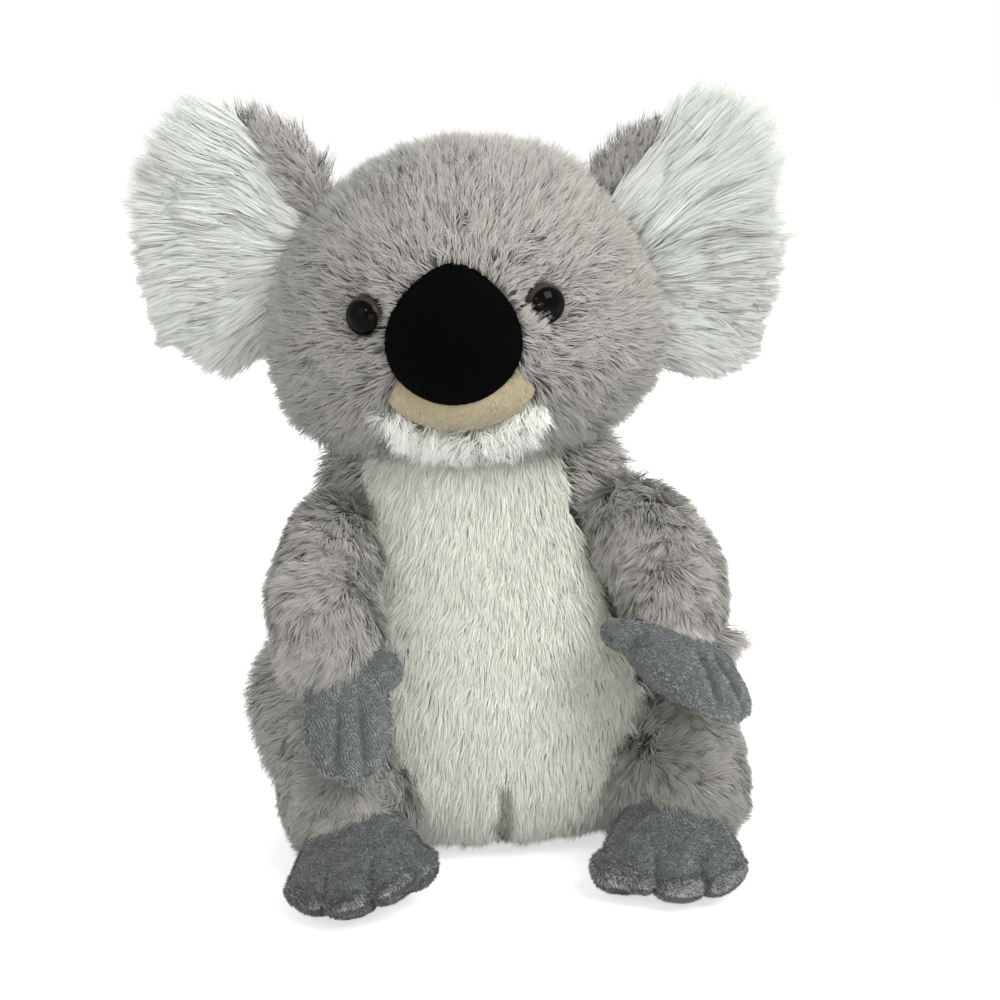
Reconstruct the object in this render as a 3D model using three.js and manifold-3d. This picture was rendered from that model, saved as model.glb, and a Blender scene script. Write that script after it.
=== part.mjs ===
// A seated plush koala, about 28 cm tall, in millimetres and degrees.
// It faces -Y and sits on the floor at Z = 0, with the origin under the middle of its seat.
// Left and right are the koala's own: its left is +X.
// Every sewn piece is a separate solid: plush and velboa covers, the fibre filling inside them, and
// the plastic eyes with their posts and washers.

import * as THREE from "three";
import { mergeVertices } from "three/addons/utils/BufferGeometryUtils.js";
import Module from "manifold-3d";

const wasm = await Module();
wasm.setup();

// Cloth and seams
const plushThickness = 9.5; // backing and pile of the grey and white plush
const velboaThickness = 2.4; // short-pile cloth of the hands, feet and nose
const seamGap = 0.3; // between any two pieces that are sewn or rest together
const fillingGap = 0.8; // between a limb's cover and its filling
const overrun = 60; // how far a cutting shape runs past what it cuts
const settledDepth = 0.5; // how deep the soft forms are pressed flat on the floor
const swingStep = 7.5; // degrees between the poses in which a moving piece is kept clear

// Torso: widths, depths and sideways lean up its height
const neckHeight = 158;
const torsoWidth = 184;
const torsoDepth = 126;
const torsoLean = 14; // how far the neck sits to the koala's right of the seat
const neckRise = 12; // how far the closed form runs on above the neck seam
const torsoWidthShares = [0.93, 0.99, 1.03, 0.86, 0.67, 0.61, 0.59];
const torsoDepthShares = [0.94, 1, 0.98, 0.87, 0.72, 0.62, 0.58];
const torsoLeanShares = [0, 0.1, 0.28, 0.44, 0.66, 0.88, 1];

// White belly panel: widths and sideways lean up its height
const bellyWidth = 94;
const bellyBack = 12; // its rear edge in the seat and at the neck, ahead of the torso's middle
const bellyHeightShares = [-0.1, 0.06, 0.22, 0.4, 0.56, 0.7, 0.86, 1.1];
const bellyWidthShares = [0.62, 0.84, 0.96, 1, 0.92, 0.8, 0.73, 0.7];
const bellyLeanShares = [-0.3, -0.3, -0.26, -0.1, 0.3, 0.62, 0.98, 1.3];

// Head, upright in its own frame: widths and depths up its height
const headHeight = 113;
const headWidth = 148;
const headDepth = 122;
const headChinDrop = 14; // how far the closed form runs on below the neck seam
const headForward = 6; // middle of the head ahead of the neck
const headAside = 4.5; // middle of the head beside the neck
const headTurn = -8.5; // towards the koala's right
const headTilt = -4.5; // its left side is higher
const headWidthShares = [0.78, 1.02, 0.93, 0.72];
const headDepthShares = [0.8, 1.03, 0.98, 0.78];

// Nose pad, mouth band and chin on the front of the head
const noseWidth = 51;
const noseHeight = 51.5;
const noseDepth = 47;
const noseBulge = 15; // how far the nose stands out of the face
const noseRise = 47.5; // middle of the nose above the neck seam
const mouthWidth = 55;
const mouthThickness = 6; // velboa band with its padding
const mouthTop = 17; // ends of the band, below the nose's middle
const mouthBottom = 42; // how far down its lower edge is drawn
const chinWidth = 66;
const chinTop = 27;
const chinBottom = 54;
const chinCurveShare = 0.8; // how full the lower edges of band and chin are

// Eyes: clear dome, black post with a back plate, and a push-on washer inside the head
const eyeSpacing = 68;
const eyeRise = 55.5; // above the neck seam
const eyeAim = 24; // how far each eye looks sideways
const eyeDiameter = 15;
const eyeDomeHeight = 5.2;
const eyeProud = 1.5; // how far the dome stands out of the plush
const eyePlate = 1.4;
const eyePostDiameter = 4.6;
const eyePostLength = 15;
const eyeWasherDiameter = 14;
const eyeWasherThickness = 1.6;

// Ears: two layers of plush, white in front and grey behind
const earLength = 65;
const earLengthShares = [1 / 3, 2 / 3]; // where its form bends
const earWidth = { right: 99, left: 106 };
const earThickness = 20;
const earRoot = 12; // how far the ear form goes into the head before it is cut back
const earCup = 9; // how far its tip curls forward
const earHollowShare = 0.25; // how far its middle bows back, of that curl
const earRise = { right: 63, left: 57 }; // middle of the root above the neck seam
const earSpread = { right: 59, left: 55 }; // root beside the neck
const earBack = 8; // front edge of the root in front of the neck
const earRaise = { right: 16, left: 20 };
const earFold = 25; // how far an ear folds forward
const earWidthShares = [0.74, 1, 1.04, 0.82];
const earThicknessShares = [0.8, 1, 0.95, 0.8];
const earLapHeight = 26; // above the middle of the root, where the grey back laps over to the front
const earLapSlopeShare = 0.48; // how much the lap's lower edge rises along the ear

// Arms, from the shoulder to the finger tips
const armReach = 104;
const armWidth = 44;
const armDepth = 44;
const armSwing = 45; // how far an arm lifts forward
const shoulderHeight = 136;
const shoulderSpread = 47; // either side of the torso's leaning middle
const shoulderForward = 12;
const sleeveEndShare = 0.74; // along the arm
const sleeveWidthShares = [0.96, 1.04, 1.04, 1];
const sleeveDepthShares = [0.9, 1.04, 0.98, 0.84];
const handStartShare = 0.6;
const handWidth = 32;
const handThickness = 15;
const handWidthShares = [0.7, 0.95, 1, 0.8];
const handThicknessShares = [1.2, 1, 0.9, 0.66];
const thumbWidth = 15;
const thumbThickness = 10.5;
const thumbReach = 34;
const thumbStartShare = 0.71;
const armRouteShares = {
  right: [
    [0, 0, 0],
    [-0.11, -0.31, -0.28],
    [-0.05, -0.55, -0.5],
    [-0.04, -0.71, -0.86],
  ],
  left: [
    [0, 0, 0],
    [0.22, -0.27, -0.22],
    [0.25, -0.56, -0.41],
    [0.37, -0.87, -0.63],
  ],
};
const handAcrossShares = { right: [1, 0.12, 0.12], left: [0.9, 0.2, -0.42] };
const thumbShares = { right: [0.6, 0, 0.2], left: [-0.97, -0.1, 0.24] };

// Legs, from inside the haunch to the toe tips
const legReach = 100;
const legWidth = 60;
const legDepth = 77;
const legLift = 12; // how far a leg lifts at the hip
const hipHeight = 60;
const hipForward = 45;
const hipSpread = 61;
const trouserEndShare = 0.62; // along the leg
const trouserWidthShares = [0.92, 1, 0.98, 0.84];
const trouserDepthShares = [1, 1, 0.76, 0.46];
const footStartShare = 0.42;
const footWidth = 51;
const footThickness = 20;
const footWidthShares = [0.6, 0.86, 1, 0.9];
const footThicknessShares = [1.1, 1.3, 1, 0.62];
const toeWidth = 22;
const toeThickness = 14;
const toeReach = 31;
const toeStartShare = 0.8;
const legRouteShares = {
  right: [
    [0.02, 0.3, -0.24],
    [-0.02, 0, -0.32],
    [0.01, -0.3, -0.44],
    [-0.06, -0.73, -0.52],
  ],
  left: [
    [-0.02, 0.3, -0.24],
    [0.01, 0, -0.32],
    [-0.04, -0.27, -0.43],
    [-0.07, -0.64, -0.55],
  ],
};
const footAcrossShares = { right: [0.94, 0.22, 0.26], left: [0.98, -0.18, -0.1] };
const toeShares = { right: [0.96, 0.08, 0.12], left: [-1, -0.1, -0.12] };

const grey = 0xa39e9c;
const white = 0xe9e9e4;
const slate = 0x7c8087;
const sides = ["right", "left"];
const signOf = { right: -1, left: 1 };
const degrees = THREE.MathUtils.degToRad;

function cloth(colour) {
  return new THREE.MeshStandardMaterial({ color: colour, roughness: 0.95, metalness: 0 });
}

function plastic(colour, roughness) {
  return new THREE.MeshStandardMaterial({ color: colour, roughness, metalness: 0 });
}

function sized(shares, size) {
  return shares.map((share) => (Array.isArray(share) ? sized(share, size) : share * size));
}

function routeOf(points) {
  return new THREE.CatmullRomCurve3(points.map((point) => new THREE.Vector3(...point)));
}

// Evenly spaced points of a curve between two shares of its length.
function stretch(curve, from, to) {
  const steps = 4;
  const points = [];
  for (let i = 0; i <= steps; i++) {
    points.push(curve.getPoint(from + ((to - from) * i) / steps).toArray());
  }
  return points;
}

// How full a stuffed form is, from its tip at 0 to its other tip at 1.
function fullness(t, blunt, root) {
  return Math.pow(Math.max(0, 1 - Math.pow(Math.abs(2 * t - 1), blunt)), 1 / root);
}

// A value from a list of stations spread evenly along 0 to 1, joined smoothly.
function along(stations, t) {
  return routeOf(stations.map((value, i) => [i, value, 0])).getPoint(t).y;
}

// A closed stuffed form: oval rings along a route, drawn in to a point at both ends.
// It grows, or shrinks where grow is negative, by the same length all round.
function stuffed({ route, wide, deep, across, blunt = 4, root = 2, rings = 10, round = 14, grow = 0 }) {
  const curve = routeOf(route);
  const points = [];
  for (let i = 0; i <= rings; i++) {
    const t = (1 - Math.cos((Math.PI * i) / rings)) / 2;
    const tangent = curve.getTangent(t).normalize();
    const side = new THREE.Vector3(...across);
    side.addScaledVector(tangent, -side.dot(tangent)).normalize();
    const front = new THREE.Vector3().crossVectors(tangent, side);
    const centre = curve.getPoint(t).addScaledVector(tangent, grow * (2 * t - 1));
    if (i === 0 || i === rings) {
      points.push(centre);
      continue;
    }
    const share = fullness(t, blunt, root);
    const halfWide = share * (along(wide, t) / 2 + grow);
    const halfDeep = share * (along(deep, t) / 2 + grow);
    for (let j = 0; j < round; j++) {
      const angle = (2 * Math.PI * j) / round;
      const point = centre.clone().addScaledVector(side, halfWide * Math.cos(angle));
      points.push(point.addScaledVector(front, halfDeep * Math.sin(angle)));
    }
  }
  const last = points.length - 1;
  const at = (ring, j) => 1 + (ring - 1) * round + (j % round);
  const faces = [];
  for (let j = 0; j < round; j++) {
    faces.push(0, at(1, j + 1), at(1, j));
    faces.push(last, at(rings - 1, j), at(rings - 1, j + 1));
    for (let ring = 1; ring < rings - 1; ring++) {
      faces.push(at(ring, j), at(ring, j + 1), at(ring + 1, j));
      faces.push(at(ring + 1, j), at(ring, j + 1), at(ring + 1, j + 1));
    }
  }
  return new THREE.BufferGeometry().setFromPoints(points).setIndex(faces);
}

// A closed geometry as a solid that can be joined and cut, moved by a matrix if one is given.
function solid(geometry, matrix = new THREE.Matrix4()) {
  const bare = geometry.clone();
  bare.deleteAttribute("normal");
  bare.deleteAttribute("uv");
  const merged = mergeVertices(bare.applyMatrix4(matrix));
  return new wasm.Manifold(
    new wasm.Mesh({
      numProp: 3,
      vertProperties: new Float32Array(merged.attributes.position.array),
      triVerts: new Uint32Array(merged.index.array),
    }),
  );
}

// The largest body that the cuts have left, as a mesh, so that no crumb stays behind.
function addPiece(group, name, manifold, material) {
  const largest = manifold.decompose().reduce((a, b) => (a.volume() > b.volume() ? a : b));
  const { vertProperties, triVerts } = largest.getMesh();
  const shared = new THREE.BufferGeometry();
  shared.setAttribute("position", new THREE.BufferAttribute(new Float32Array(vertProperties), 3));
  shared.setIndex(new THREE.BufferAttribute(new Uint32Array(triVerts), 1));
  const geometry = shared.toNonIndexed();
  geometry.computeVertexNormals();
  const mesh = new THREE.Mesh(geometry, material);
  mesh.name = name;
  group.add(mesh);
}

// A big block for cutting, on the outer side of a plane through a place.
function beyond(place, out) {
  const size = torsoWidth + headHeight + overrun;
  const block = new THREE.BoxGeometry(size, size, size).translate(0, 0, size / 2);
  const upward = new THREE.Vector3(0, 0, 1);
  const turned = new THREE.Quaternion().setFromUnitVectors(upward, new THREE.Vector3(...out).normalize());
  return solid(block.applyQuaternion(turned).translate(...place));
}

const below = (height) => beyond([0, 0, height], [0, 0, -1]);
const above = (height) => beyond([0, 0, height], [0, 0, 1]);

// A piece of a group less what it would meet in any pose of its joint at the group's origin.
// The neighbours stand still in the group's parent; axis and swing are the joint's.
function clearOf(piece, neighbours, group, axis, swing) {
  group.updateMatrix();
  const steps = Math.ceil(swing / swingStep);
  let left = piece;
  for (let i = 0; i <= steps; i++) {
    const back = new THREE.Matrix4().makeRotationAxis(axis, -degrees((swing * i) / steps));
    const path = back.multiply(group.matrix.clone().invert());
    for (const neighbour of neighbours) {
      left = left.subtract(solid(neighbour, path));
    }
  }
  return left;
}

const koala = new THREE.Group();

// Torso
function torsoForm(grow, fine) {
  const count = torsoLeanShares.length - 1;
  const height = neckHeight + neckRise + settledDepth;
  return stuffed({
    route: torsoLeanShares.map((share, i) => [-torsoLean * share, 0, (i / count) * height - settledDepth]),
    wide: sized(torsoWidthShares, torsoWidth),
    deep: sized(torsoDepthShares, torsoDepth),
    across: [1, 0, 0],
    blunt: 8,
    root: 5,
    rings: fine ? 11 : 8,
    round: fine ? 18 : 12,
    grow,
  });
}

// One edge of the belly panel, seen from the front, as points up its height.
function bellyEdge(side, grow) {
  return bellyHeightShares.map((share, i) => {
    const middle = -torsoLean * bellyLeanShares[i];
    const half = (bellyWidthShares[i] * bellyWidth) / 2 + grow;
    return new THREE.Vector2(middle + side * half, share * neckHeight);
  });
}

function bellyBlock(grow) {
  const up = bellyEdge(1, grow);
  const down = bellyEdge(-1, grow).reverse();
  const shape = new THREE.Shape();
  shape.moveTo(up[0].x, up[0].y);
  shape.splineThru(up.slice(1));
  shape.lineTo(down[0].x, down[0].y);
  shape.splineThru(down.slice(1));
  const block = new THREE.ExtrudeGeometry(shape, { depth: torsoDepth, bevelEnabled: false, curveSegments: 3 });
  return solid(block.rotateX(Math.PI / 2).translate(0, grow - bellyBack, 0));
}

function buildTorso() {
  const neck = above(neckHeight - seamGap / 2);
  const cavity = solid(torsoForm(-plushThickness, false)).subtract(below(plushThickness));
  const shell = solid(torsoForm(0, true)).subtract(below(0)).subtract(neck).subtract(cavity);
  const filling = solid(torsoForm(-plushThickness - seamGap, false))
    .subtract(below(plushThickness + seamGap))
    .subtract(neck);
  addPiece(koala, "torso_cover", shell.subtract(bellyBlock(seamGap)), cloth(grey));
  addPiece(koala, "belly_panel", shell.intersect(bellyBlock(0)), cloth(white));
  addPiece(koala, "torso_filling", filling, cloth(white));
}

// Head, in a group that turns about the neck; its forms are modelled upright and then tilted
const head = new THREE.Group();
head.position.set(-torsoLean, 0, neckHeight);
head.rotation.z = degrees(headTurn);
koala.add(head);
const tilt = new THREE.Matrix4().makeRotationY(degrees(headTilt));
const faceDepth = headDepth / 2 + headForward;

function headForm(grow, fine) {
  const form = stuffed({
    route: [
      [headAside, -headForward, -headChinDrop],
      [headAside, -headForward, headHeight],
    ],
    wide: sized(headWidthShares, headWidth),
    deep: sized(headDepthShares, headDepth),
    across: [1, 0, 0],
    blunt: 2.8,
    rings: fine ? 10 : 6,
    round: fine ? 20 : 10,
    grow,
  });
  return form.applyMatrix4(tilt);
}

// The lower part of an oval on the face, as a block that runs back from in front of it.
// Width is across its ends; top and bottom are measured down from the nose's middle.
function faceBlock(width, top, bottom, grow) {
  const half = width / 2 + grow;
  const full = half * chinCurveShare;
  const shape = new THREE.Shape();
  shape.moveTo(-half, grow - top);
  shape.bezierCurveTo(-full, -bottom - grow, full, -bottom - grow, half, grow - top);
  shape.closePath();
  const block = new THREE.ExtrudeGeometry(shape, { depth: headDepth, bevelEnabled: false, curveSegments: 8 });
  return solid(block.rotateX(Math.PI / 2).translate(headAside, 0, noseRise), tilt);
}

function noseForm(grow) {
  const form = new THREE.SphereGeometry(1, 16, 9)
    .scale(noseWidth / 2 + grow, noseDepth / 2 + grow, noseHeight / 2 + grow)
    .translate(headAside, noseDepth / 2 - noseBulge - faceDepth, noseRise);
  return form.applyMatrix4(tilt);
}

// A profile of radii and heights, turned about Z.
function turned(profile) {
  const points = profile.map(([radius, height]) => new THREE.Vector2(radius, height));
  return new THREE.LatheGeometry(points, 16).rotateX(Math.PI / 2);
}

// Where an eye sits: it points along its own Z, with the surface of the plush at zero.
function eyeMatrix(side) {
  const sign = signOf[side];
  const outward = new THREE.Vector3(0, 0, 1);
  const aim = new THREE.Vector3(sign * Math.sin(degrees(eyeAim)), -Math.cos(degrees(eyeAim)), 0);
  const turn = new THREE.Matrix4().makeRotationFromQuaternion(
    new THREE.Quaternion().setFromUnitVectors(outward, aim.transformDirection(tilt)),
  );
  const start = new THREE.Vector3(headAside + (sign * eyeSpacing) / 2, -faceDepth - overrun, eyeRise);
  const ray = new THREE.Raycaster(start.applyMatrix4(tilt), new THREE.Vector3(0, 1, 0));
  const surface = ray.intersectObject(new THREE.Mesh(headForm(0, true)))[0].point;
  return turn.setPosition(surface);
}

const domeBack = eyeProud - eyeDomeHeight;
const plateBack = domeBack - seamGap - eyePlate;
const postEnd = plateBack - eyePostLength;
const washerFront = -plushThickness;
const washerBack = washerFront - eyeWasherThickness;

function eyeDome(grow) {
  const steps = 5;
  const profile = [[0, domeBack]];
  for (let i = 0; i < steps; i++) {
    const angle = (Math.PI / 2) * (i / steps);
    profile.push([(eyeDiameter / 2 + grow) * Math.cos(angle), domeBack + eyeDomeHeight * Math.sin(angle)]);
  }
  profile.push([0, eyeProud]);
  return turned(profile);
}

function eyePost(grow) {
  return turned([
    [0, postEnd - grow],
    [eyePostDiameter / 2 + grow, postEnd - grow],
    [eyePostDiameter / 2 + grow, plateBack - grow],
    [eyeDiameter / 2 + grow, plateBack - grow],
    [eyeDiameter / 2 + grow, domeBack - seamGap + grow],
    [0, domeBack - seamGap + grow],
  ]);
}

function eyeWasher() {
  const hole = eyePostDiameter / 2 + seamGap;
  return turned([
    [hole, washerBack],
    [eyeWasherDiameter / 2, washerBack],
    [eyeWasherDiameter / 2, washerFront],
    [hole, washerFront],
    [hole, washerBack],
  ]);
}

// The room that an eye's washer takes in the cloth and, behind it, in the filling.
function washerRoom(back) {
  return turned([
    [0, back],
    [eyeWasherDiameter / 2 + seamGap, back],
    [eyeWasherDiameter / 2 + seamGap, washerFront + seamGap],
    [0, washerFront + seamGap],
  ]);
}

function buildHead() {
  const neck = below(seamGap / 2);
  const cavity = solid(headForm(-plushThickness, false));
  const shell = solid(headForm(0, true)).subtract(neck).subtract(cavity);
  const nose = solid(noseForm(seamGap));
  const chin = faceBlock(chinWidth, chinTop, chinBottom, 0);
  const band = faceBlock(mouthWidth, mouthTop, mouthBottom, 0);
  const bandRoom = faceBlock(mouthWidth, mouthTop, mouthBottom, seamGap);
  const chinRoom = faceBlock(chinWidth, chinTop, chinBottom, seamGap);
  const bandFront = solid(headForm(mouthThickness - plushThickness, false));

  let cover = shell.subtract(chinRoom).subtract(bandRoom).subtract(nose);
  let filling = solid(headForm(-plushThickness - seamGap, false)).subtract(neck);
  for (const side of sides) {
    const place = eyeMatrix(side);
    const eye = solid(eyePost(seamGap), place).add(solid(eyeDome(seamGap), place));
    cover = cover.subtract(eye).subtract(solid(washerRoom(washerBack - overrun), place));
    filling = filling.subtract(eye).subtract(solid(washerRoom(washerBack - seamGap), place));
    addPiece(head, `eye_dome_${side}`, solid(eyeDome(0), place), plastic(0x1c1512, 0.08));
    addPiece(head, `eye_post_${side}`, solid(eyePost(0), place), plastic(0x0c0c0c, 0.5));
    addPiece(head, `eye_washer_${side}`, solid(eyeWasher(), place), plastic(0xdcdcd6, 0.5));
  }
  const pad = solid(noseForm(0)).subtract(solid(noseForm(-velboaThickness))).subtract(cavity);
  const padFilling = solid(noseForm(-velboaThickness - seamGap)).subtract(cavity);
  addPiece(head, "head_cover", cover, cloth(grey));
  addPiece(head, "chin_panel", shell.intersect(chin).subtract(bandRoom).subtract(nose), cloth(white));
  addPiece(head, "mouth_band", bandFront.subtract(cavity).intersect(band).subtract(nose), cloth(0xcdb595));
  addPiece(head, "nose_pad", pad, cloth(0x08080a));
  addPiece(head, "nose_filling", padFilling, cloth(white));
  addPiece(head, "head_filling", filling, cloth(white));
}

// Ears, each in a group inside the head that folds about the front edge of its root
function buildEar(side) {
  const sign = signOf[side];
  const ear = new THREE.Group();
  ear.position.set(sign * earSpread[side], -earBack, earRise[side]);
  ear.rotation.y = -sign * degrees(earRaise[side]);
  head.add(ear);
  const middle = earThickness / 2;
  const form = stuffed({
    route: [
      [-sign * earRoot, middle, 0],
      [sign * earLength * earLengthShares[0], middle + earCup * earHollowShare, 0],
      [sign * earLength * earLengthShares[1], middle, 0],
      [sign * earLength, middle - earCup, 0],
    ],
    wide: sized(earWidthShares, earWidth[side]),
    deep: sized(earThicknessShares, earThickness),
    across: [0, 0, 1],
    blunt: 3,
    rings: 8,
    round: 16,
  });
  const axis = new THREE.Vector3(0, 0, -sign);
  const clear = clearOf(solid(form), [headForm(seamGap, true)], ear, axis, earFold);
  const upper = [-sign * earLapSlopeShare, 0, 1];
  const lower = upper.map((value) => -value);
  const behind = beyond([0, middle + seamGap / 2, 0], [0, 1, 0]);
  const ahead = beyond([0, middle - seamGap / 2, 0], [0, -1, 0]);
  const lap = beyond([0, 0, earLapHeight + seamGap], upper);
  const underLap = beyond([0, 0, earLapHeight], lower);
  addPiece(ear, `ear_front_${side}`, clear.intersect(ahead).intersect(underLap), cloth(white));
  addPiece(ear, `ear_back_${side}`, clear.intersect(behind.add(lap)), cloth(grey));
}

// A limb that lifts about its group's origin: a plush sleeve, a velboa end in two halves with one
// digit that stands off it, and one filling through them all.
function buildLimb({ group, names, curve, sleeve, end, digit, opening, swing }) {
  const sleeveForm = (grow, fine) =>
    stuffed({ ...sleeve, blunt: 5, rings: fine ? 7 : 6, round: fine ? 12 : 7, grow });
  const endForm = (grow, fine) => {
    const palm = solid(stuffed({ ...end, rings: fine ? 6 : 5, round: fine ? 12 : 6, grow }));
    return palm.add(solid(stuffed({ ...digit, rings: 4, round: 6, grow })));
  };
  const inside = (grow) => {
    const hollow = solid(sleeveForm(grow - plushThickness, false)).add(endForm(grow - velboaThickness, false));
    const hole = solid(stuffed({ ...opening, rings: 4, round: 6, grow }));
    return hollow.add(hole.intersect(solid(sleeveForm(grow + seamGap, true))));
  };
  const lift = new THREE.Vector3(-1, 0, 0);
  const torso = torsoForm(seamGap, true);
  const clear = (piece) => clearOf(piece, [torso], group, lift, swing).subtract(below(-group.position.z));
  const shell = endForm(0, true).subtract(inside(0));
  const tangent = curve.getTangent(end.splitShare);
  const upward = new THREE.Vector3().crossVectors(tangent, new THREE.Vector3(...end.across)).normalize();
  const half = (sign) => {
    const place = curve.getPoint(end.splitShare).addScaledVector(upward, (sign * seamGap) / 2);
    return beyond(place.toArray(), upward.clone().multiplyScalar(sign).toArray());
  };
  const cover = solid(sleeveForm(0, true)).subtract(inside(0)).subtract(endForm(seamGap, true));
  addPiece(group, names.cover, clear(cover), cloth(grey));
  addPiece(group, names.upper, clear(shell.intersect(half(1))), cloth(slate));
  addPiece(group, names.lower, clear(shell.intersect(half(-1))), cloth(slate));
  addPiece(group, names.filling, clear(inside(-fillingGap)), cloth(white));
}

// A digit's form: it starts on the limb's middle line and stands off it.
function digitOf(curve, startShare, shares, reach, width, thickness) {
  const start = curve.getPoint(startShare);
  const tip = start.clone().add(new THREE.Vector3(...sized(shares, reach)));
  return {
    route: [start.toArray(), tip.toArray()],
    wide: [width, width],
    deep: [thickness, thickness],
    across: curve.getTangent(startShare).toArray(),
  };
}

function buildArm(side) {
  const sign = signOf[side];
  const group = new THREE.Group();
  const middle = -torsoLean * torsoLeanShares.at(-2);
  group.position.set(middle + sign * shoulderSpread, -shoulderForward, shoulderHeight);
  koala.add(group);
  const curve = routeOf(sized(armRouteShares[side], armReach));
  const hollow = armWidth - 2 * plushThickness;
  buildLimb({
    group,
    curve,
    swing: armSwing,
    names: {
      cover: `arm_cover_${side}`,
      upper: `hand_back_${side}`,
      lower: `hand_palm_${side}`,
      filling: `arm_filling_${side}`,
    },
    sleeve: {
      route: stretch(curve, 0, sleeveEndShare),
      wide: sized(sleeveWidthShares, armWidth),
      deep: sized(sleeveDepthShares, armDepth),
      across: handAcrossShares[side],
    },
    end: {
      route: stretch(curve, handStartShare, 1),
      wide: sized(handWidthShares, handWidth),
      deep: sized(handThicknessShares, handThickness),
      across: handAcrossShares[side],
      splitShare: (handStartShare + 1) / 2,
    },
    digit: digitOf(curve, thumbStartShare, thumbShares[side], thumbReach, thumbWidth, thumbThickness),
    opening: {
      route: [[-sign * shoulderSpread, 0, 0], curve.getPoint(handStartShare / 2).toArray()],
      wide: [hollow, hollow],
      deep: [hollow, hollow],
      across: [0, 1, 0],
    },
  });
}

function buildLeg(side) {
  const sign = signOf[side];
  const group = new THREE.Group();
  group.position.set(sign * hipSpread, -hipForward, hipHeight);
  koala.add(group);
  const curve = routeOf(sized(legRouteShares[side], legReach));
  const hollow = legWidth - 2 * plushThickness;
  buildLimb({
    group,
    curve,
    swing: legLift,
    names: {
      cover: `leg_cover_${side}`,
      upper: `foot_top_${side}`,
      lower: `foot_sole_${side}`,
      filling: `leg_filling_${side}`,
    },
    sleeve: {
      route: stretch(curve, 0, trouserEndShare),
      wide: sized(trouserWidthShares, legWidth),
      deep: sized(trouserDepthShares, legDepth),
      across: footAcrossShares[side],
    },
    end: {
      route: stretch(curve, footStartShare, 1),
      wide: sized(footWidthShares, footWidth),
      deep: sized(footThicknessShares, footThickness),
      across: footAcrossShares[side],
      splitShare: (footStartShare + 1) / 2,
    },
    digit: digitOf(curve, toeStartShare, toeShares[side], toeReach, toeWidth, toeThickness),
    opening: {
      route: [[0, hipForward, legRouteShares[side][0][2] * legReach], curve.getPoint(0).toArray()],
      wide: [hollow, hollow],
      deep: [hollow, hollow],
      across: [1, 0, 0],
    },
  });
}

buildTorso();
buildHead();
for (const side of sides) {
  buildEar(side);
  buildArm(side);
  buildLeg(side);
}

export default koala;
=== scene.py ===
import math

import bpy
import numpy as np
from mathutils import Matrix, Vector
from mathutils.bvhtree import BVHTree
from mathutils.kdtree import KDTree


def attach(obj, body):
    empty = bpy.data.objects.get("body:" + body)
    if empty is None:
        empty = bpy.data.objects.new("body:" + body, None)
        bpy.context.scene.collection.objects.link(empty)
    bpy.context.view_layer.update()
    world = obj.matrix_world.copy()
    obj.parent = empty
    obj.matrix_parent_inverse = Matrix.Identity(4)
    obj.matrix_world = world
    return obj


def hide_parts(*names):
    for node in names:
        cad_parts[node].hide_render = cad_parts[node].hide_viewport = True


# A seated plush koala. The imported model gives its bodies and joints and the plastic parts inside
# the head. What shows is made here, on sizes in millimetres, and turned to metres in each mesh.
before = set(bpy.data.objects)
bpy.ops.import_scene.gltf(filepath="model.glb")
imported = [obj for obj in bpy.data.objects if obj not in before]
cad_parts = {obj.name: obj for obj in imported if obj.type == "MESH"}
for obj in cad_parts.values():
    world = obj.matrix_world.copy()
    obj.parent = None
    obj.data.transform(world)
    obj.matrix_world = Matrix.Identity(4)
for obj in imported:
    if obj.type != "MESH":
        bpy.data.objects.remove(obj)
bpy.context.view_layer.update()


# Camera
# A long lens a little over a metre off, somewhat above the eyes and slightly to the toy's right,
# which looks at the toy's middle.
camera_azimuth, camera_elevation = math.radians(-6), math.radians(14)
camera_distance = 1.150
camera_aim = Vector((0, 0, 0.1292))
back = Vector((
    math.sin(camera_azimuth) * math.cos(camera_elevation),
    -math.cos(camera_azimuth) * math.cos(camera_elevation),
    math.sin(camera_elevation),
))
camera = bpy.data.objects.new("camera", bpy.data.cameras.new("camera"))
camera.data.lens = 107.6
camera.data.sensor_width = 36
camera.location = camera_aim + back * camera_distance
camera.rotation_euler = back.to_track_quat("Z", "Y").to_euler()
bpy.context.scene.collection.objects.link(camera)
bpy.context.scene.camera = camera


# Torso filling
# Loose polyester fibre, blown into the sewn torso through the back seam. It is the closed form
# that everything else is sewn round, so the form's sizes stand here.
mm = 0.001
sides = ("right", "left")  # the koala's own
cloth_depth = 8.0  # from where the pile ends down to its cloth backing
fibre_depth = 10.0  # and down to the filling
neck_height = 158.0
torso_lean = 14.0  # the neck sits this far to the koala's right
torso_rise = 170.5
torso_lean_shares = np.array([0, 0.1, 0.28, 0.44, 0.66, 0.88, 1])
torso_widths = 184 * np.array([0.93, 0.99, 1.03, 0.86, 0.67, 0.61, 0.59])
torso_depths = 126 * np.array([0.94, 1, 0.98, 0.87, 0.72, 0.62, 0.58])


def unit(vectors):
    return vectors / np.maximum(np.linalg.norm(vectors, axis=-1, keepdims=True), 1e-9)


def square_to(direction, ahead):
    """The direction, turned square to each of the ways ahead."""
    direction = np.asarray(direction, float)
    return unit(direction - ahead * (ahead @ direction)[:, None])


def in_place(points, place):
    turned = np.array(place)
    return points @ turned[:3, :3].T + turned[:3, 3]


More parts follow.
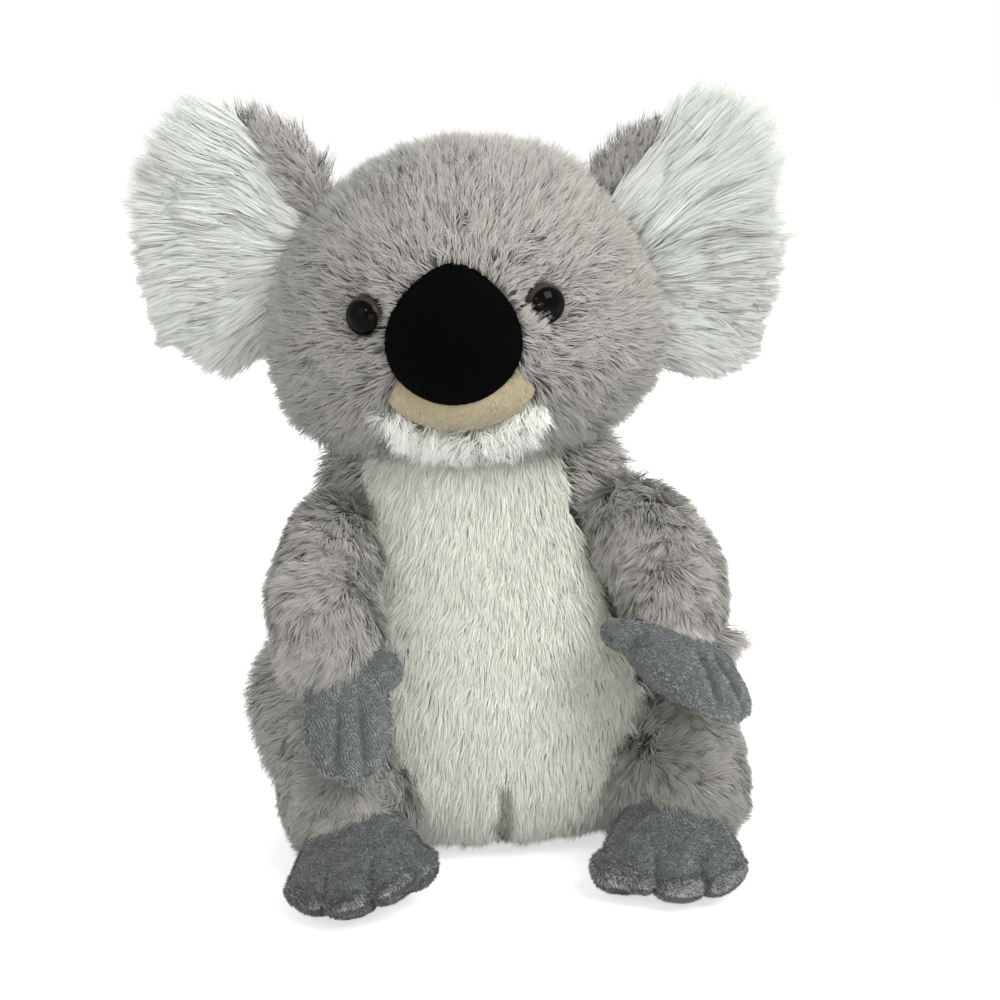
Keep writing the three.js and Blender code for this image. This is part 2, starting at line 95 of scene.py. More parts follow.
def smooth_through(points, shares):
    """Points of a smooth curve through the given ones, at shares of their count."""
    given = np.asarray(points, float)
    given = np.vstack([2 * given[0] - given[1], given, 2 * given[-1] - given[-2]])
    step = np.clip(np.atleast_1d(shares), 0, 1) * (len(given) - 3)
    i = np.minimum(step.astype(int), len(given) - 4)
    a, b, c, d = (given[i + k] for k in range(4))
    la, lb, lc = (np.sqrt(np.linalg.norm(q - p, axis=1, keepdims=True)) for p, q in ((a, b), (b, c), (c, d)))
    start = ((b - a) / la - (c - a) / (la + lb) + (c - b) / lb) * lb
    end = ((c - b) / lb - (d - b) / (lb + lc) + (d - c) / lc) * lb
    t = (step - i)[:, None]
    return b + start * t + (3 * (c - b) - 2 * start - end) * t**2 + (2 * (b - c) + start + end) * t**3


class SewnForm:
    """A closed form of triangles in millimetres, with its outward normals."""

    def __init__(self, points, faces):
        self.points, self.faces = points, faces
        corners = points[faces]
        facing = np.cross(corners[:, 1] - corners[:, 0], corners[:, 2] - corners[:, 0])
        self.areas = np.linalg.norm(facing, axis=1) / 2
        normals = np.zeros_like(points)
        for k in range(3):
            np.add.at(normals, faces[:, k], facing)
        self.normals = unit(normals)
        self.tree = BVHTree.FromPolygons(points.tolist(), faces.tolist())

    def holds(self, places):
        """Which of the places lie inside the form."""
        low, high = self.points.min(0), self.points.max(0)
        inside = np.all((places > low) & (places < high), axis=1)
        for i in np.flatnonzero(inside):
            spot, normal, _, _ = self.tree.find_nearest(places[i])
            inside[i] = (Vector(places[i]) - spot).dot(normal) < 0
        return inside


def ring_faces(rings, around):
    """Triangles over one point, then rings of points, then a last point."""
    j = np.arange(around)
    k = (j + 1) % around
    end = 1 + (rings - 1) * around
    last = 0 * j + end + around
    corners = [(0 * j, 1 + k, 1 + j), (last, end + j, end + k)]
    for low in range(1, end, around):
        high = low + around
        corners += [(low + j, low + k, high + j), (high + j, low + k, high + k)]
    return np.vstack([np.column_stack(three) for three in corners])


def stuffed(route, wide, deep, across, blunt=4.0, root=2.0, grow=0.0, rings=64, around=80, place=None):
    """Oval rings along a bent route, drawn in to a point at both ends, as fibre fills a sewn tube.

    A higher blunt keeps the tube full for longer, and a higher root rounds its ends off faster.
    """
    t = (1 - np.cos(np.pi * np.arange(rings + 1) / rings)) / 2
    nearby = 1e-3
    tangent = unit(smooth_through(route, t + nearby) - smooth_through(route, t - nearby))
    side = square_to(across, tangent)
    front = np.cross(tangent, side)
    centre = smooth_through(route, t) + tangent * grow * (2 * t - 1)[:, None]
    full = np.maximum(0, 1 - np.abs(2 * t - 1) ** blunt) ** (1 / root)
    half_wide, half_deep = (
        full * (smooth_through(np.column_stack([np.arange(len(size)), size]), t)[:, 1] / 2 + grow)
        for size in (wide, deep))
    turn = 2 * np.pi * np.arange(around) / around
    ring = centre[1:-1, None] + side[1:-1, None] * (half_wide[1:-1, None] * np.cos(turn))[..., None]
    ring = ring + front[1:-1, None] * (half_deep[1:-1, None] * np.sin(turn))[..., None]
    points = np.vstack([centre[:1], ring.reshape(-1, 3), centre[-1:]])
    return SewnForm(points if place is None else in_place(points, place), ring_faces(rings - 1, around))


def on_floor(form, height):
    """The form, flattened where it rests on the floor."""
    form.points[:, 2] = np.maximum(form.points[:, 2], height)
    return SewnForm(form.points, form.faces)


def torso_form(grow):
    height = np.linspace(0, torso_rise, len(torso_lean_shares)) - 0.5
    route = np.column_stack([-torso_lean * torso_lean_shares, 0 * height, height])
    form = stuffed(route, torso_widths, torso_depths, (1, 0, 0), 8, 5, grow, 90, 110)
    return on_floor(form, -grow * 0.15)


def linear(hex_colour):
    """An sRGB hex colour as linear red, green, blue and alpha."""
    parts = [int(hex_colour[i:i + 2], 16) / 255 for i in (1, 3, 5)]
    return tuple(c / 12.92 if c <= 0.04045 else ((c + 0.055) / 1.055) ** 2.4 for c in parts) + (1.0,)


def node(material, kind, inputs=None, **settings):
    """Adds one node with its settings, its values and its links, and gives it back."""
    made = material.node_tree.nodes.new(kind)
    for name, value in settings.items():
        setattr(made, name, value)
    for name, value in (inputs or {}).items():
        if isinstance(value, bpy.types.NodeSocket):
            material.node_tree.links.new(value, made.inputs[name])
        else:
            made.inputs[name].default_value = value
    return made


def bare_material(name):
    material = bpy.data.materials.new(name)
    material.use_nodes = True
    material.node_tree.nodes.clear()
    return material


def specks(across):
    """The scale of a noise whose specks are this many millimetres across."""
    return 1 / (across * mm)


def form_mesh(name, form):
    mesh = bpy.data.meshes.new(name)
    mesh.from_pydata((form.points * mm).tolist(), [], form.faces.tolist())
    mesh.shade_smooth()
    return mesh


def add_piece(name, mesh, material, body, stands_for):
    """A mesh as a piece of one material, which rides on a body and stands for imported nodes."""
    mesh.materials.append(material)
    piece = bpy.data.objects.new(name, mesh)
    bpy.context.scene.collection.objects.link(piece)
    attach(piece, body)
    if stands_for:
        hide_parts(*stands_for)
    return piece


def cloth_piece(name, form, material, body, stands_for=()):
    """A closed stuffed form as a piece on a body."""
    add_piece(name, form_mesh(name, form), material, body, stands_for)


# Siliconised hollow polyester fibre, carded into loose tufts about 11 mm across: matt and white,
# with faint grey painted shade in the dips between the tufts. Polyester's index is near the default of 1.5.
fibre = bare_material("polyester_fibre_filling")
tufts = node(fibre, "ShaderNodeTexNoise", {"Scale": specks(11.1), "Detail": 6.0})
fibre_painted_shade = node(fibre, "ShaderNodeMixRGB", {
    "Fac": tufts.outputs["Fac"], "Color1": linear("#D5D6D4"), "Color2": linear("#F4F4F2"),
})
loose = node(fibre, "ShaderNodeBump", {"Strength": 0.5, "Distance": 1 * mm, "Height": tufts.outputs["Fac"]})
matt = node(fibre, "ShaderNodeBsdfPrincipled", {
    "Base Color": fibre_painted_shade.outputs["Color"], "Roughness": 0.95, "Normal": loose.outputs["Normal"],
})
node(fibre, "ShaderNodeOutputMaterial", {"Surface": matt.outputs["BSDF"]})

cloth_piece("torso_fibre", torso_form(-fibre_depth), fibre, "torso", ["torso_filling"])


# Torso cover
# Grey long-pile plush, cut in four panels and sewn into a pear. The knitted backing lies on the
# filling, and about 9 mm of pile stands on it, combed down and outwards by handling.
torso_skin = torso_form(-cloth_depth)


def waves(places, length, seed):
    """A gentle random direction at each place, which changes over the given length."""
    rng = np.random.default_rng(seed)
    out = np.zeros_like(places)
    for _ in range(5):
        heading = unit(rng.normal(size=(1, 3))) * 2 * np.pi / (length * rng.uniform(0.7, 1.5))
        phase = rng.uniform(0, 2 * np.pi, 3)
        out += unit(rng.normal(size=(1, 3))) * np.sin(places @ heading.T + phase[0])
        out += np.sin(places @ heading.T[:, ::-1] + phase[1:2]) * unit(rng.normal(size=(1, 3)))
    return out / 3


def nearest(centres, places):
    """For each place, which of the centres is nearest."""
    tree = KDTree(len(centres))
    for i, centre in enumerate(centres.tolist()):
        tree.insert(centre, i)
    tree.balance()
    return np.array([tree.find(place)[1] for place in places.tolist()])


def nearness(places, spot, reach):
    """How near each place is to a spot, from 1 on it down to 0 well beyond its reach."""
    return np.exp(-(np.linalg.norm(places - spot, axis=1) / reach) ** 2)


def pile(name, form, material, body, stands_for, count, length, comb, seed, where=None,
         clear_of=(), over=(), press=None, width=0.34, stand=(70, 38), segments=2, tuft=1.8, gather=0.55,
         clumps=2.2, lean=0.22, stray=0.34, swirl=0.35, swirl_length=30, shorten=None, brighten=None,
         own_normal=0.3, facing=(0, 0, 0)):
    """Combed pile on a form: count flat tapering strands, whose tips gather into small tufts.

    The functions take the strands' roots. comb gives the way the pile lies, where says which roots
    are kept, shorten gives a share of the length, brighten a lighter or darker tone, and press moves
    the tips. No root lies inside a form of clear_of, and strands are lifted off the forms of over.
    Length, width, tuft and swirl_length are in millimetres, and stand gives the angle to the cloth
    at the root and at the tip. A tuft's tips draw together by gather, and clumps is a lock's width in
    tufts. Tufts and locks turn from the comb by lean, single strands by stray, and the whole lie
    slowly by swirl. A strand is shaded as the cloth under it, turned towards facing, and by
    own_normal as a blade.
    """
    rng = np.random.default_rng(seed)
    tries_each, spare = 5, 1.4  # places drawn for each strand, and roots kept in case others hold some
    tries = count * tries_each
    face = rng.choice(len(form.faces), tries, p=form.areas / form.areas.sum())
    mix = rng.random((tries, 2))
    mix[mix.sum(1) > 1] = 1 - mix[mix.sum(1) > 1]
    mix = np.column_stack([1 - mix.sum(1), mix])[..., None]
    roots = (form.points[form.faces[face]] * mix).sum(1)
    outward = unit((form.normals[form.faces[face]] * mix).sum(1))
    if where is not None:
        keep = where(roots, outward)
        roots, outward = roots[keep], outward[keep]
    roots, outward = roots[:int(count * spare)], outward[:int(count * spare)]
    keep = np.ones(len(roots), bool)
    for other in clear_of:
        keep &= ~other.holds(roots)
    roots, outward = roots[keep][:count], outward[keep][:count]
    count = len(roots)

    # Each strand belongs to the tuft and the lock whose first strand is nearest
    covered = form.areas.sum() * min(1, count / tries * tries_each)
    heads = rng.permutation(count)[:max(1, int(covered / (tuft * tuft)))]
    member = nearest(roots[heads], roots)
    locks = rng.permutation(count)[:max(1, int(covered / (tuft * clumps) ** 2))]
    lock = nearest(roots[locks], roots)

    def laid(ways):
        return unit(ways - outward * (ways * outward).sum(1, keepdims=True))

    # How it lies along the cloth, how long it is and how it rises
    flow = unit(comb(roots, outward)) + swirl * waves(roots, swirl_length, seed)
    lock_turn, tuft_turn = rng.normal(size=(len(locks), 3))[lock], rng.normal(size=(len(heads), 3))[member]
    flow = laid(flow + lean * (lock_turn + 0.6 * tuft_turn))
    flow = laid(unit(flow + rng.normal(size=(count, 3)) * stray))
    reach = length * rng.uniform(0.78, 1.12, count)
    if shorten is not None:
        reach = reach * shorten(roots)
    lock_tilt, tuft_tilt, own_tilt = 7, 5, 6  # degrees
    tilt = rng.normal(size=len(locks))[lock] * lock_tilt + rng.normal(size=len(heads))[member] * tuft_tilt
    rise = np.radians(np.array(stand)[None, :] + tilt[:, None] + rng.normal(size=(count, 2)) * own_tilt)

    # Its line, from just under the cloth to its tip, clear of the forms beneath and of the floor
    root_depth, over_gap, floor_gap = 0.6, 0.7, 0.25
    line = [roots - outward * root_depth]
    for s in range(segments):
        share = s / (segments - 1)
        angle = (rise[:, 0] * (1 - share) + rise[:, 1] * share)[:, None]
        step = flow * np.cos(angle) + outward * np.sin(angle)
        line.append(line[-1] + step * (reach / segments)[:, None])
    for s in range(1, segments + 1):
        pull = gather * (s / segments) ** 1.6
        line[s] = line[s] * (1 - pull) + line[s][heads][member] * pull
        if press is not None:
            line[s] = line[s] + press(roots) * s / segments
    for form_under in over:
        for points in line[1:]:
            for i in np.flatnonzero(form_under.holds(points)).tolist():
                spot, way = form_under.tree.find_nearest(Vector(points[i]))[:2]
                points[i] = np.array(spot) + np.array(way) * over_gap
    for points in line:
        points[:, 2] = np.maximum(points[:, 2], floor_gap + 0.5 * rng.random(count))

    # Its blade, widest near the root, and rolled a little about its line
    roll_spread, taper = 0.7, 0.75
    ahead = unit(line[-1] - line[0])
    side = unit(np.cross(ahead, outward))
    up = np.cross(side, ahead)
    roll = rng.normal(size=count) * roll_spread
    side = side * np.cos(roll)[:, None] + up * np.sin(roll)[:, None]
    blade = np.cross(side, ahead)
    per = 2 * segments
    points = np.empty((count, per, 3))
    depth = np.zeros(per)
    points[:, 0], points[:, -1], depth[-1] = line[0], line[-1], 1.0
    triangles = [(0, 2, 1)]
    for s in range(1, segments):
        half = side * width / 2 * (1 if s == 1 else taper)
        points[:, 2 * s - 1], points[:, 2 * s] = line[s] - half, line[s] + half
        depth[2 * s - 1:2 * s + 1] = s / segments
        if s > 1:
            triangles += [(2 * s - 3, 2 * s - 2, 2 * s), (2 * s - 3, 2 * s, 2 * s - 1)]
    triangles.append((per - 3, per - 2, per - 1))
    corners = (np.arange(count)[:, None, None] * per + np.array(triangles)[None]).reshape(-1, 3)

    # Its tone across the colour chart, and its root to tip up it
    own_tone, tuft_tone, lock_tone, chart_half = 0.13, 0.13, 0.1, 0.004
    tone = (0.5 + own_tone * rng.normal(size=count) + tuft_tone * rng.normal(size=len(heads))[member]
            + lock_tone * rng.normal(size=len(locks))[lock])
    if brighten is not None:
        tone = tone + brighten(roots)
    tone = np.clip(tone, 0.02, 0.98)
    shift = [0.0] + [-chart_half, chart_half] * (segments - 1) + [0.0]
    uv = np.stack([tone[:, None] + np.array(shift)[None], np.tile(depth, (count, 1))], axis=2)
    outer_side = np.sign((blade * outward).sum(1))[:, None]
    soft = unit((outward + facing) * (1 - own_normal) + blade * own_normal * outer_side)

    mesh = bpy.data.meshes.new(name)
    mesh.vertices.add(count * per)
    mesh.vertices.foreach_set("co", (points * mm).ravel())
    mesh.loops.add(corners.size)
    mesh.loops.foreach_set("vertex_index", corners.ravel())
    mesh.polygons.add(len(corners))
    mesh.polygons.foreach_set("loop_start", np.arange(0, corners.size, 3))
    mesh.update(calc_edges=True)
    chart = mesh.uv_layers.new(name="OFBake")
    chart.data.foreach_set("uv", uv.reshape(-1, 2)[corners.ravel()].ravel())
    mesh.shade_smooth()
    mesh.normals_split_custom_set_from_vertices(np.repeat(soft, per, axis=0))
    add_piece(name, mesh, material, body, stands_for)


def knitted_backing(name, low, high):
    """The knit that pile is locked into: matt, dyed like the pile, in ribs 0.8 mm apart."""
    material = bare_material(name)
    band = 2 * math.pi / 20  # a wave of scale 1 repeats after this many metres
    rows = node(material, "ShaderNodeTexWave", {"Scale": band / (0.8 * mm), "Distortion": 2.0, "Detail": 2.0})
    # Painted shade: the cloth is darker where the ribs' bump is low, in the hollows between them
    cloth = node(material, "ShaderNodeMixRGB", {
        "Fac": rows.outputs["Fac"], "Color1": linear(low), "Color2": linear(high),
    })
    ribs = node(material, "ShaderNodeBump", {
        "Strength": 0.4, "Distance": 0.4 * mm, "Height": rows.outputs["Fac"],
    })
    matt = node(material, "ShaderNodeBsdfPrincipled", {
        "Base Color": cloth.outputs["Color"], "Roughness": 0.95, "Normal": ribs.outputs["Normal"],
    })
    node(material, "ShaderNodeOutputMaterial", {"Surface": matt.outputs["BSDF"]})
    return material


def plush_pile(name, root, middle, tip, sheen=0.25, gloss=0.25, dark=0.74):
    """Polyester pile: darker at the root, as painted shade deep in the pile, lighter at the tip, and its own
    tone in each tuft.

    The fibres scatter light, so the gloss is under half of a smooth polyester's, with a faint sheen.
    """
    material = bare_material(name)
    chart = node(material, "ShaderNodeUVMap", uv_map="OFBake")
    place = node(material, "ShaderNodeSeparateXYZ", {"Vector": chart.outputs["UV"]})
    low = node(material, "ShaderNodeMapRange", {"Value": place.outputs["Y"], "From Max": 0.5})
    high = node(material, "ShaderNodeMapRange", {"Value": place.outputs["Y"], "From Min": 0.5})
    # Painted shade: the colour darkens from the middle of each strand down to its root
    shade = node(material, "ShaderNodeMixRGB", {
        "Fac": low.outputs["Result"], "Color1": linear(root), "Color2": linear(middle),
    })
    shade = node(material, "ShaderNodeMixRGB", {
        "Fac": high.outputs["Result"], "Color1": shade.outputs["Color"], "Color2": linear(tip),
    })
    tone = node(material, "ShaderNodeMapRange", {"Value": place.outputs["X"], "To Min": dark, "To Max": 1.16})
    shade = node(material, "ShaderNodeMixRGB", {
        "Fac": 1.0, "Color1": shade.outputs["Color"], "Color2": tone.outputs["Result"],
    }, blend_type="MULTIPLY")
    hair = node(material, "ShaderNodeBsdfPrincipled", {
        "Base Color": shade.outputs["Color"], "Roughness": 0.85, "Sheen Weight": sheen,
        "Sheen Roughness": 0.4, "Specular IOR Level": gloss,
    })
    node(material, "ShaderNodeOutputMaterial", {"Surface": hair.outputs["BSDF"]})
    return material


# Warm grey plush: silvery at the tips, and brownish at the roots as painted shade, so every parting shows
# darker
grey_backing = knitted_backing("grey_knitted_backing", "#5E5A55", "#76726C")
grey_pile = plush_pile("grey_polyester_plush", "#8A837F", "#A5A29C", "#C9C7BF")
cloth_piece("torso_backing", torso_skin, grey_backing, "torso")

# The belly panel's edges, seen from the front: heights, widths and sideways lean
belly_heights = neck_height * np.array([-0.1, 0.06, 0.22, 0.4, 0.56, 0.7, 0.86, 1.1])
belly_widths = 94 * np.array([0.62, 0.84, 0.96, 1, 0.92, 0.8, 0.73, 0.7])
belly_leans = -torso_lean * np.array([-0.3, -0.3, -0.26, -0.1, 0.3, 0.62, 0.98, 1.3])


def on_belly(places, margin=0.0):
    """Which places of the torso the white belly panel covers."""
    middle = np.interp(places[:, 2], belly_heights, belly_leans)
    half = np.interp(places[:, 2], belly_heights, belly_widths) / 2 + margin
    return (np.abs(places[:, 0] - middle) < half) & (places[:, 1] < -12)


# Each limb's middle line, as shares of its reach from the shoulder or the hip, and the way across
# its hand or foot. The torso's pile keeps clear of the sleeves and legs.
arm_reach, leg_reach = 104.0, 100.0
arm_routes = {
    "right": [[0, 0, 0], [-0.11, -0.31, -0.28], [-0.05, -0.55, -0.5], [-0.04, -0.71, -0.86]],
    "left": [[0, 0, 0], [0.22, -0.27, -0.22], [0.25, -0.56, -0.41], [0.37, -0.87, -0.63]],
}
leg_routes = {
    "right": [[0.02, 0.3, -0.24], [-0.02, 0, -0.32], [0.01, -0.3, -0.44], [-0.06, -0.73, -0.52]],
    "left": [[-0.02, 0.3, -0.24], [0.01, 0, -0.32], [-0.04, -0.27, -0.43], [-0.07, -0.64, -0.55]],
}
hand_across = {"right": (1, 0.12, 0.12), "left": (0.9, 0.2, -0.42)}
foot_across = {"right": (0.94, 0.22, 0.26), "left": (0.98, -0.18, -0.1)}
shoulders = {"right": np.array([-59.32, -12, 136]), "left": np.array([34.68, -12, 136])}
hips = {"right": np.array([-61, -45, 60]), "left": np.array([61, -45, 60])}
sleeve_ends = {"right": 0.7, "left": 0.74}  # shares of the arm that the sleeve covers
ankle_share = 0.62


def arm_curve(side, shares):
    return smooth_through(np.array(arm_routes[side]) * arm_reach + shoulders[side], shares)


def leg_curve(side, shares):
    return smooth_through(np.array(leg_routes[side]) * leg_reach + hips[side], shares)


def sleeve_form(side, grow):
    route = arm_curve(side, np.linspace(0, sleeve_ends[side], 5))
    wide, deep = 42.5 * np.array([0.96, 1.04, 1.04, 1]), 44 * np.array([0.9, 1.04, 0.98, 0.84])
    return stuffed(route, wide, deep, hand_across[side], 5, 2, grow)


def leg_form(side, grow):
    route = leg_curve(side, np.linspace(0, ankle_share, 5))
    wide, deep = 60 * np.array([0.92, 1, 0.98, 0.84]), 77 * np.array([1, 1, 0.76, 0.46])
    return on_floor(stuffed(route, wide, deep, foot_across[side], 5, 2, grow), 1.2)


sleeve_skins = {side: sleeve_form(side, -cloth_depth) for side in sides}
leg_skins = {side: leg_form(side, -cloth_depth) for side in sides}
limb_skins = [*sleeve_skins.values(), *leg_skins.values()]


def on_shoulders(places):
    """How near each place is to the top of the left and of the right shoulder."""
    flat = np.array([1, 1.6, 1])  # a spot on a shoulder is longer from front to back
    return nearness(places / flat, (45, 0, 148) / flat, 16), nearness(places / flat, (-66, 0, 146) / flat, 13)


def torso_comb(places, outward):
    down = np.zeros_like(places) + (0, 0.15, -1)
    down[:, 0] += 0.012 * (places[:, 0] + torso_lean * 0.5)
    left, right = on_shoulders(places)
    return down + left[:, None] * (1.3, 0, 0.5) + right[:, None] * (-1.1, 0, 0.3)


def fuller_shoulders(places):
    left, right = on_shoulders(places)
    return 1 + 1.3 * left + 0.6 * right


pile("torso_plush", torso_skin, grey_pile, "torso", ["torso_cover"], 84000, 13, torso_comb, 11,
     where=lambda p, n: ~on_belly(p, 1.0) & (p[:, 2] > 2) & (p[:, 2] < neck_height + 2), clear_of=limb_skins,
     width=0.38, shorten=fuller_shoulders)


# Belly panel
# White plush of the same make with a finer, straighter pile, sewn in between the grey sides from
# the chin to the seat, with a short dart seam low on its middle that parts the pile.
dart_seam_x, dart_seam_top = -3.5, 40.0
dart_heights, dart_halves = [0, 6, 14, dart_seam_top], [0.5, 1.0, 1.7, 1.2]

# Off-white with a breath of green, almost even from root to tip. In the seam a greyer copy of the
# same pile is painted shade, where the fold keeps the light off.
white_backing = knitted_backing("white_knitted_backing", "#CDCFC3", "#DEE0D5")
white_pile = plush_pile("white_polyester_plush", "#D7D9CC", "#E2E4D7", "#EEF0E5", dark=0.86)
seam_pile_painted_shade = plush_pile("white_plush_painted_seam_shade", "#94968A", "#9FA195", "#B2B4A8")


def patch(form, keep, thick):
    """The part of a form's surface whose corners all pass the test, as a thin closed layer on it."""
    inside = keep(form.points)
    faces = form.faces[inside[form.faces].all(1)]
    used = np.unique(faces)
    index = -np.ones(len(form.points), int)
    index[used] = np.arange(len(used))
    faces, n = index[faces], len(used)
    low, high = form.points[used] + form.normals[used] * 0.1, form.points[used] + form.normals[used] * thick
    edges = np.vstack([faces[:, [0, 1]], faces[:, [1, 2]], faces[:, [2, 0]]])
    keys = {tuple(e) for e in edges.tolist()}
    rim = np.array([e for e in edges.tolist() if (e[1], e[0]) not in keys])
    walls = np.vstack([
        np.column_stack([rim[:, 1], rim[:, 0], rim[:, 0] + n]),
        np.column_stack([rim[:, 1], rim[:, 0] + n, rim[:, 1] + n]),
    ])
    return SewnForm(np.vstack([low, high]), np.vstack([faces[:, ::-1], faces + n, walls]))


def belly_comb(places, outward):
    down = np.zeros_like(places) + (-0.12, 0, -1)
    beside = places[:, 0] - dart_seam_x
    near = np.exp(-(beside / 5) ** 2) * (places[:, 2] < dart_seam_top)
    down[:, 0] += 0.6 * np.sign(beside) * near
    return down


def on_dart(places, wider=1.0):
    """How far each place is in the dart's fold, from 0 to 1."""
    half = wider * np.interp(places[:, 2], dart_heights, dart_halves)
    return np.exp(-((places[:, 0] - dart_seam_x) / half) ** 4) * (places[:, 2] < dart_seam_top)


cloth_piece("belly_backing", patch(torso_skin, on_belly, 3.0), white_backing, "torso")
# Painted shade: the belly's pile darkens along the dart, and the dart's short pile is the greyer seam pile,
# as the shade in the fold
pile("belly_plush", torso_skin, white_pile, "torso", ["belly_panel"], 80000, 11.5,
     belly_comb, 12, where=lambda p, n: on_belly(p, 0.5) & (p[:, 2] < neck_height + 2), clear_of=limb_skins,
     width=0.37, stand=(42, 18), swirl=0.3, swirl_length=14, stray=0.17, tuft=1.3, gather=0.18, lean=0.08,
     own_normal=0.14, shorten=lambda p: 1 - 0.7 * on_dart(p), brighten=lambda p: -0.9 * on_dart(p, 1.6) - 0.1)
pile("dart_plush", torso_skin, seam_pile_painted_shade, "torso", [], 120000, 7, belly_comb, 14,
     where=lambda p, n: (on_dart(p, 0.6) > 0.4) & on_belly(p, 0.5), stand=(78, 70), swirl=0.2,
     swirl_length=14, stray=0.15, tuft=1.3, gather=0.2, width=0.4, lean=0.08, own_normal=0.14)


# Hands and feet
# Two layers of short slate velboa each, sewn round the edge and lightly filled, with stitched lines
# that part three fingers or toes, and a thumb or big toe that stands off. The feet's front curls up.

# Brushed polyester velboa: slate grey, cloudy over about 8 mm where the nap was stroked, with
# specks of 0.7 mm. The real fibres are finer, and are drawn as coarse as they need to show.
velboa = bare_material("slate_velboa")
stroked = node(velboa, "ShaderNodeTexNoise", {"Scale": specks(8.33), "Detail": 4.0, "Roughness": 0.6})
fine = node(velboa, "ShaderNodeTexNoise", {"Scale": specks(0.667), "Detail": 3.0, "Roughness": 0.7})
brushed = node(velboa, "ShaderNodeMixRGB", {
    "Fac": stroked.outputs["Fac"], "Color1": linear("#4C5050"), "Color2": linear("#646868"),
})
brushed = node(velboa, "ShaderNodeMixRGB", {
    "Fac": 0.5, "Color1": brushed.outputs["Color"], "Color2": fine.outputs["Color"],
}, blend_type="SOFT_LIGHT")
fuzz = node(velboa, "ShaderNodeBump", {"Strength": 0.6, "Distance": 0.6 * mm, "Height": fine.outputs["Fac"]})
cloth = node(velboa, "ShaderNodeBsdfPrincipled", {
    "Base Color": brushed.outputs["Color"], "Roughness": 0.9, "Sheen Weight": 0.4, "Sheen Roughness": 0.45,
    "Specular IOR Level": 0.2, "Normal": fuzz.outputs["Normal"],
})
node(velboa, "ShaderNodeOutputMaterial", {"Surface": cloth.outputs["BSDF"]})

# Its nap is dark at the roots, as painted shade deep in the nap, and pale at the tips, so that each
# rib and fold shows. The nap of each foot's curled-up front is a paler copy of it, as painted light where
# that front turns up
velboa_nap = plush_pile("slate_velboa_nap", "#505454", "#848888", "#BABEBE", gloss=0.2, dark=0.5)
sole_nap_painted_light = plush_pile("slate_velboa_nap_painted_light", "#666A68", "#9A9E9B", "#CFD2CD", gloss=0.2, dark=0.5)


def joined(forms, voxel, rounds):
    """Several overlapping forms as one smooth closed form."""
    points = np.vstack([form.points for form in forms])
    starts = np.cumsum([0] + [len(form.points) for form in forms[:-1]])
    faces = np.vstack([form.faces + start for form, start in zip(forms, starts)])
    mesh = bpy.data.meshes.new("sewn_together")
    mesh.from_pydata((points * mm).tolist(), [], faces.tolist())
    thing = bpy.data.objects.new("sewn_together", mesh)
    bpy.context.scene.collection.objects.link(thing)
    remesh = thing.modifiers.new("remesh", "REMESH")
    remesh.mode, remesh.voxel_size, remesh.adaptivity = "VOXEL", voxel * mm, 0.0
    relax = thing.modifiers.new("relax", "SMOOTH")
    relax.factor, relax.iterations = 0.5, rounds
    flat = thing.modifiers.new("triangles", "TRIANGULATE")
    flat.quad_method = "FIXED"
    bpy.context.view_layer.update()
    made = bpy.data.meshes.new_from_object(thing.evaluated_get(bpy.context.evaluated_depsgraph_get()))
    places = np.empty(len(made.vertices) * 3)
    made.vertices.foreach_get("co", places)
    corners = np.empty(len(made.polygons) * 3, int)
    made.polygons.foreach_get("vertices", corners)
    bpy.data.objects.remove(thing)
    bpy.data.meshes.remove(mesh)
    bpy.data.meshes.remove(made)
    return SewnForm(places.reshape(-1, 3) / mm, corners.reshape(-1, 3))


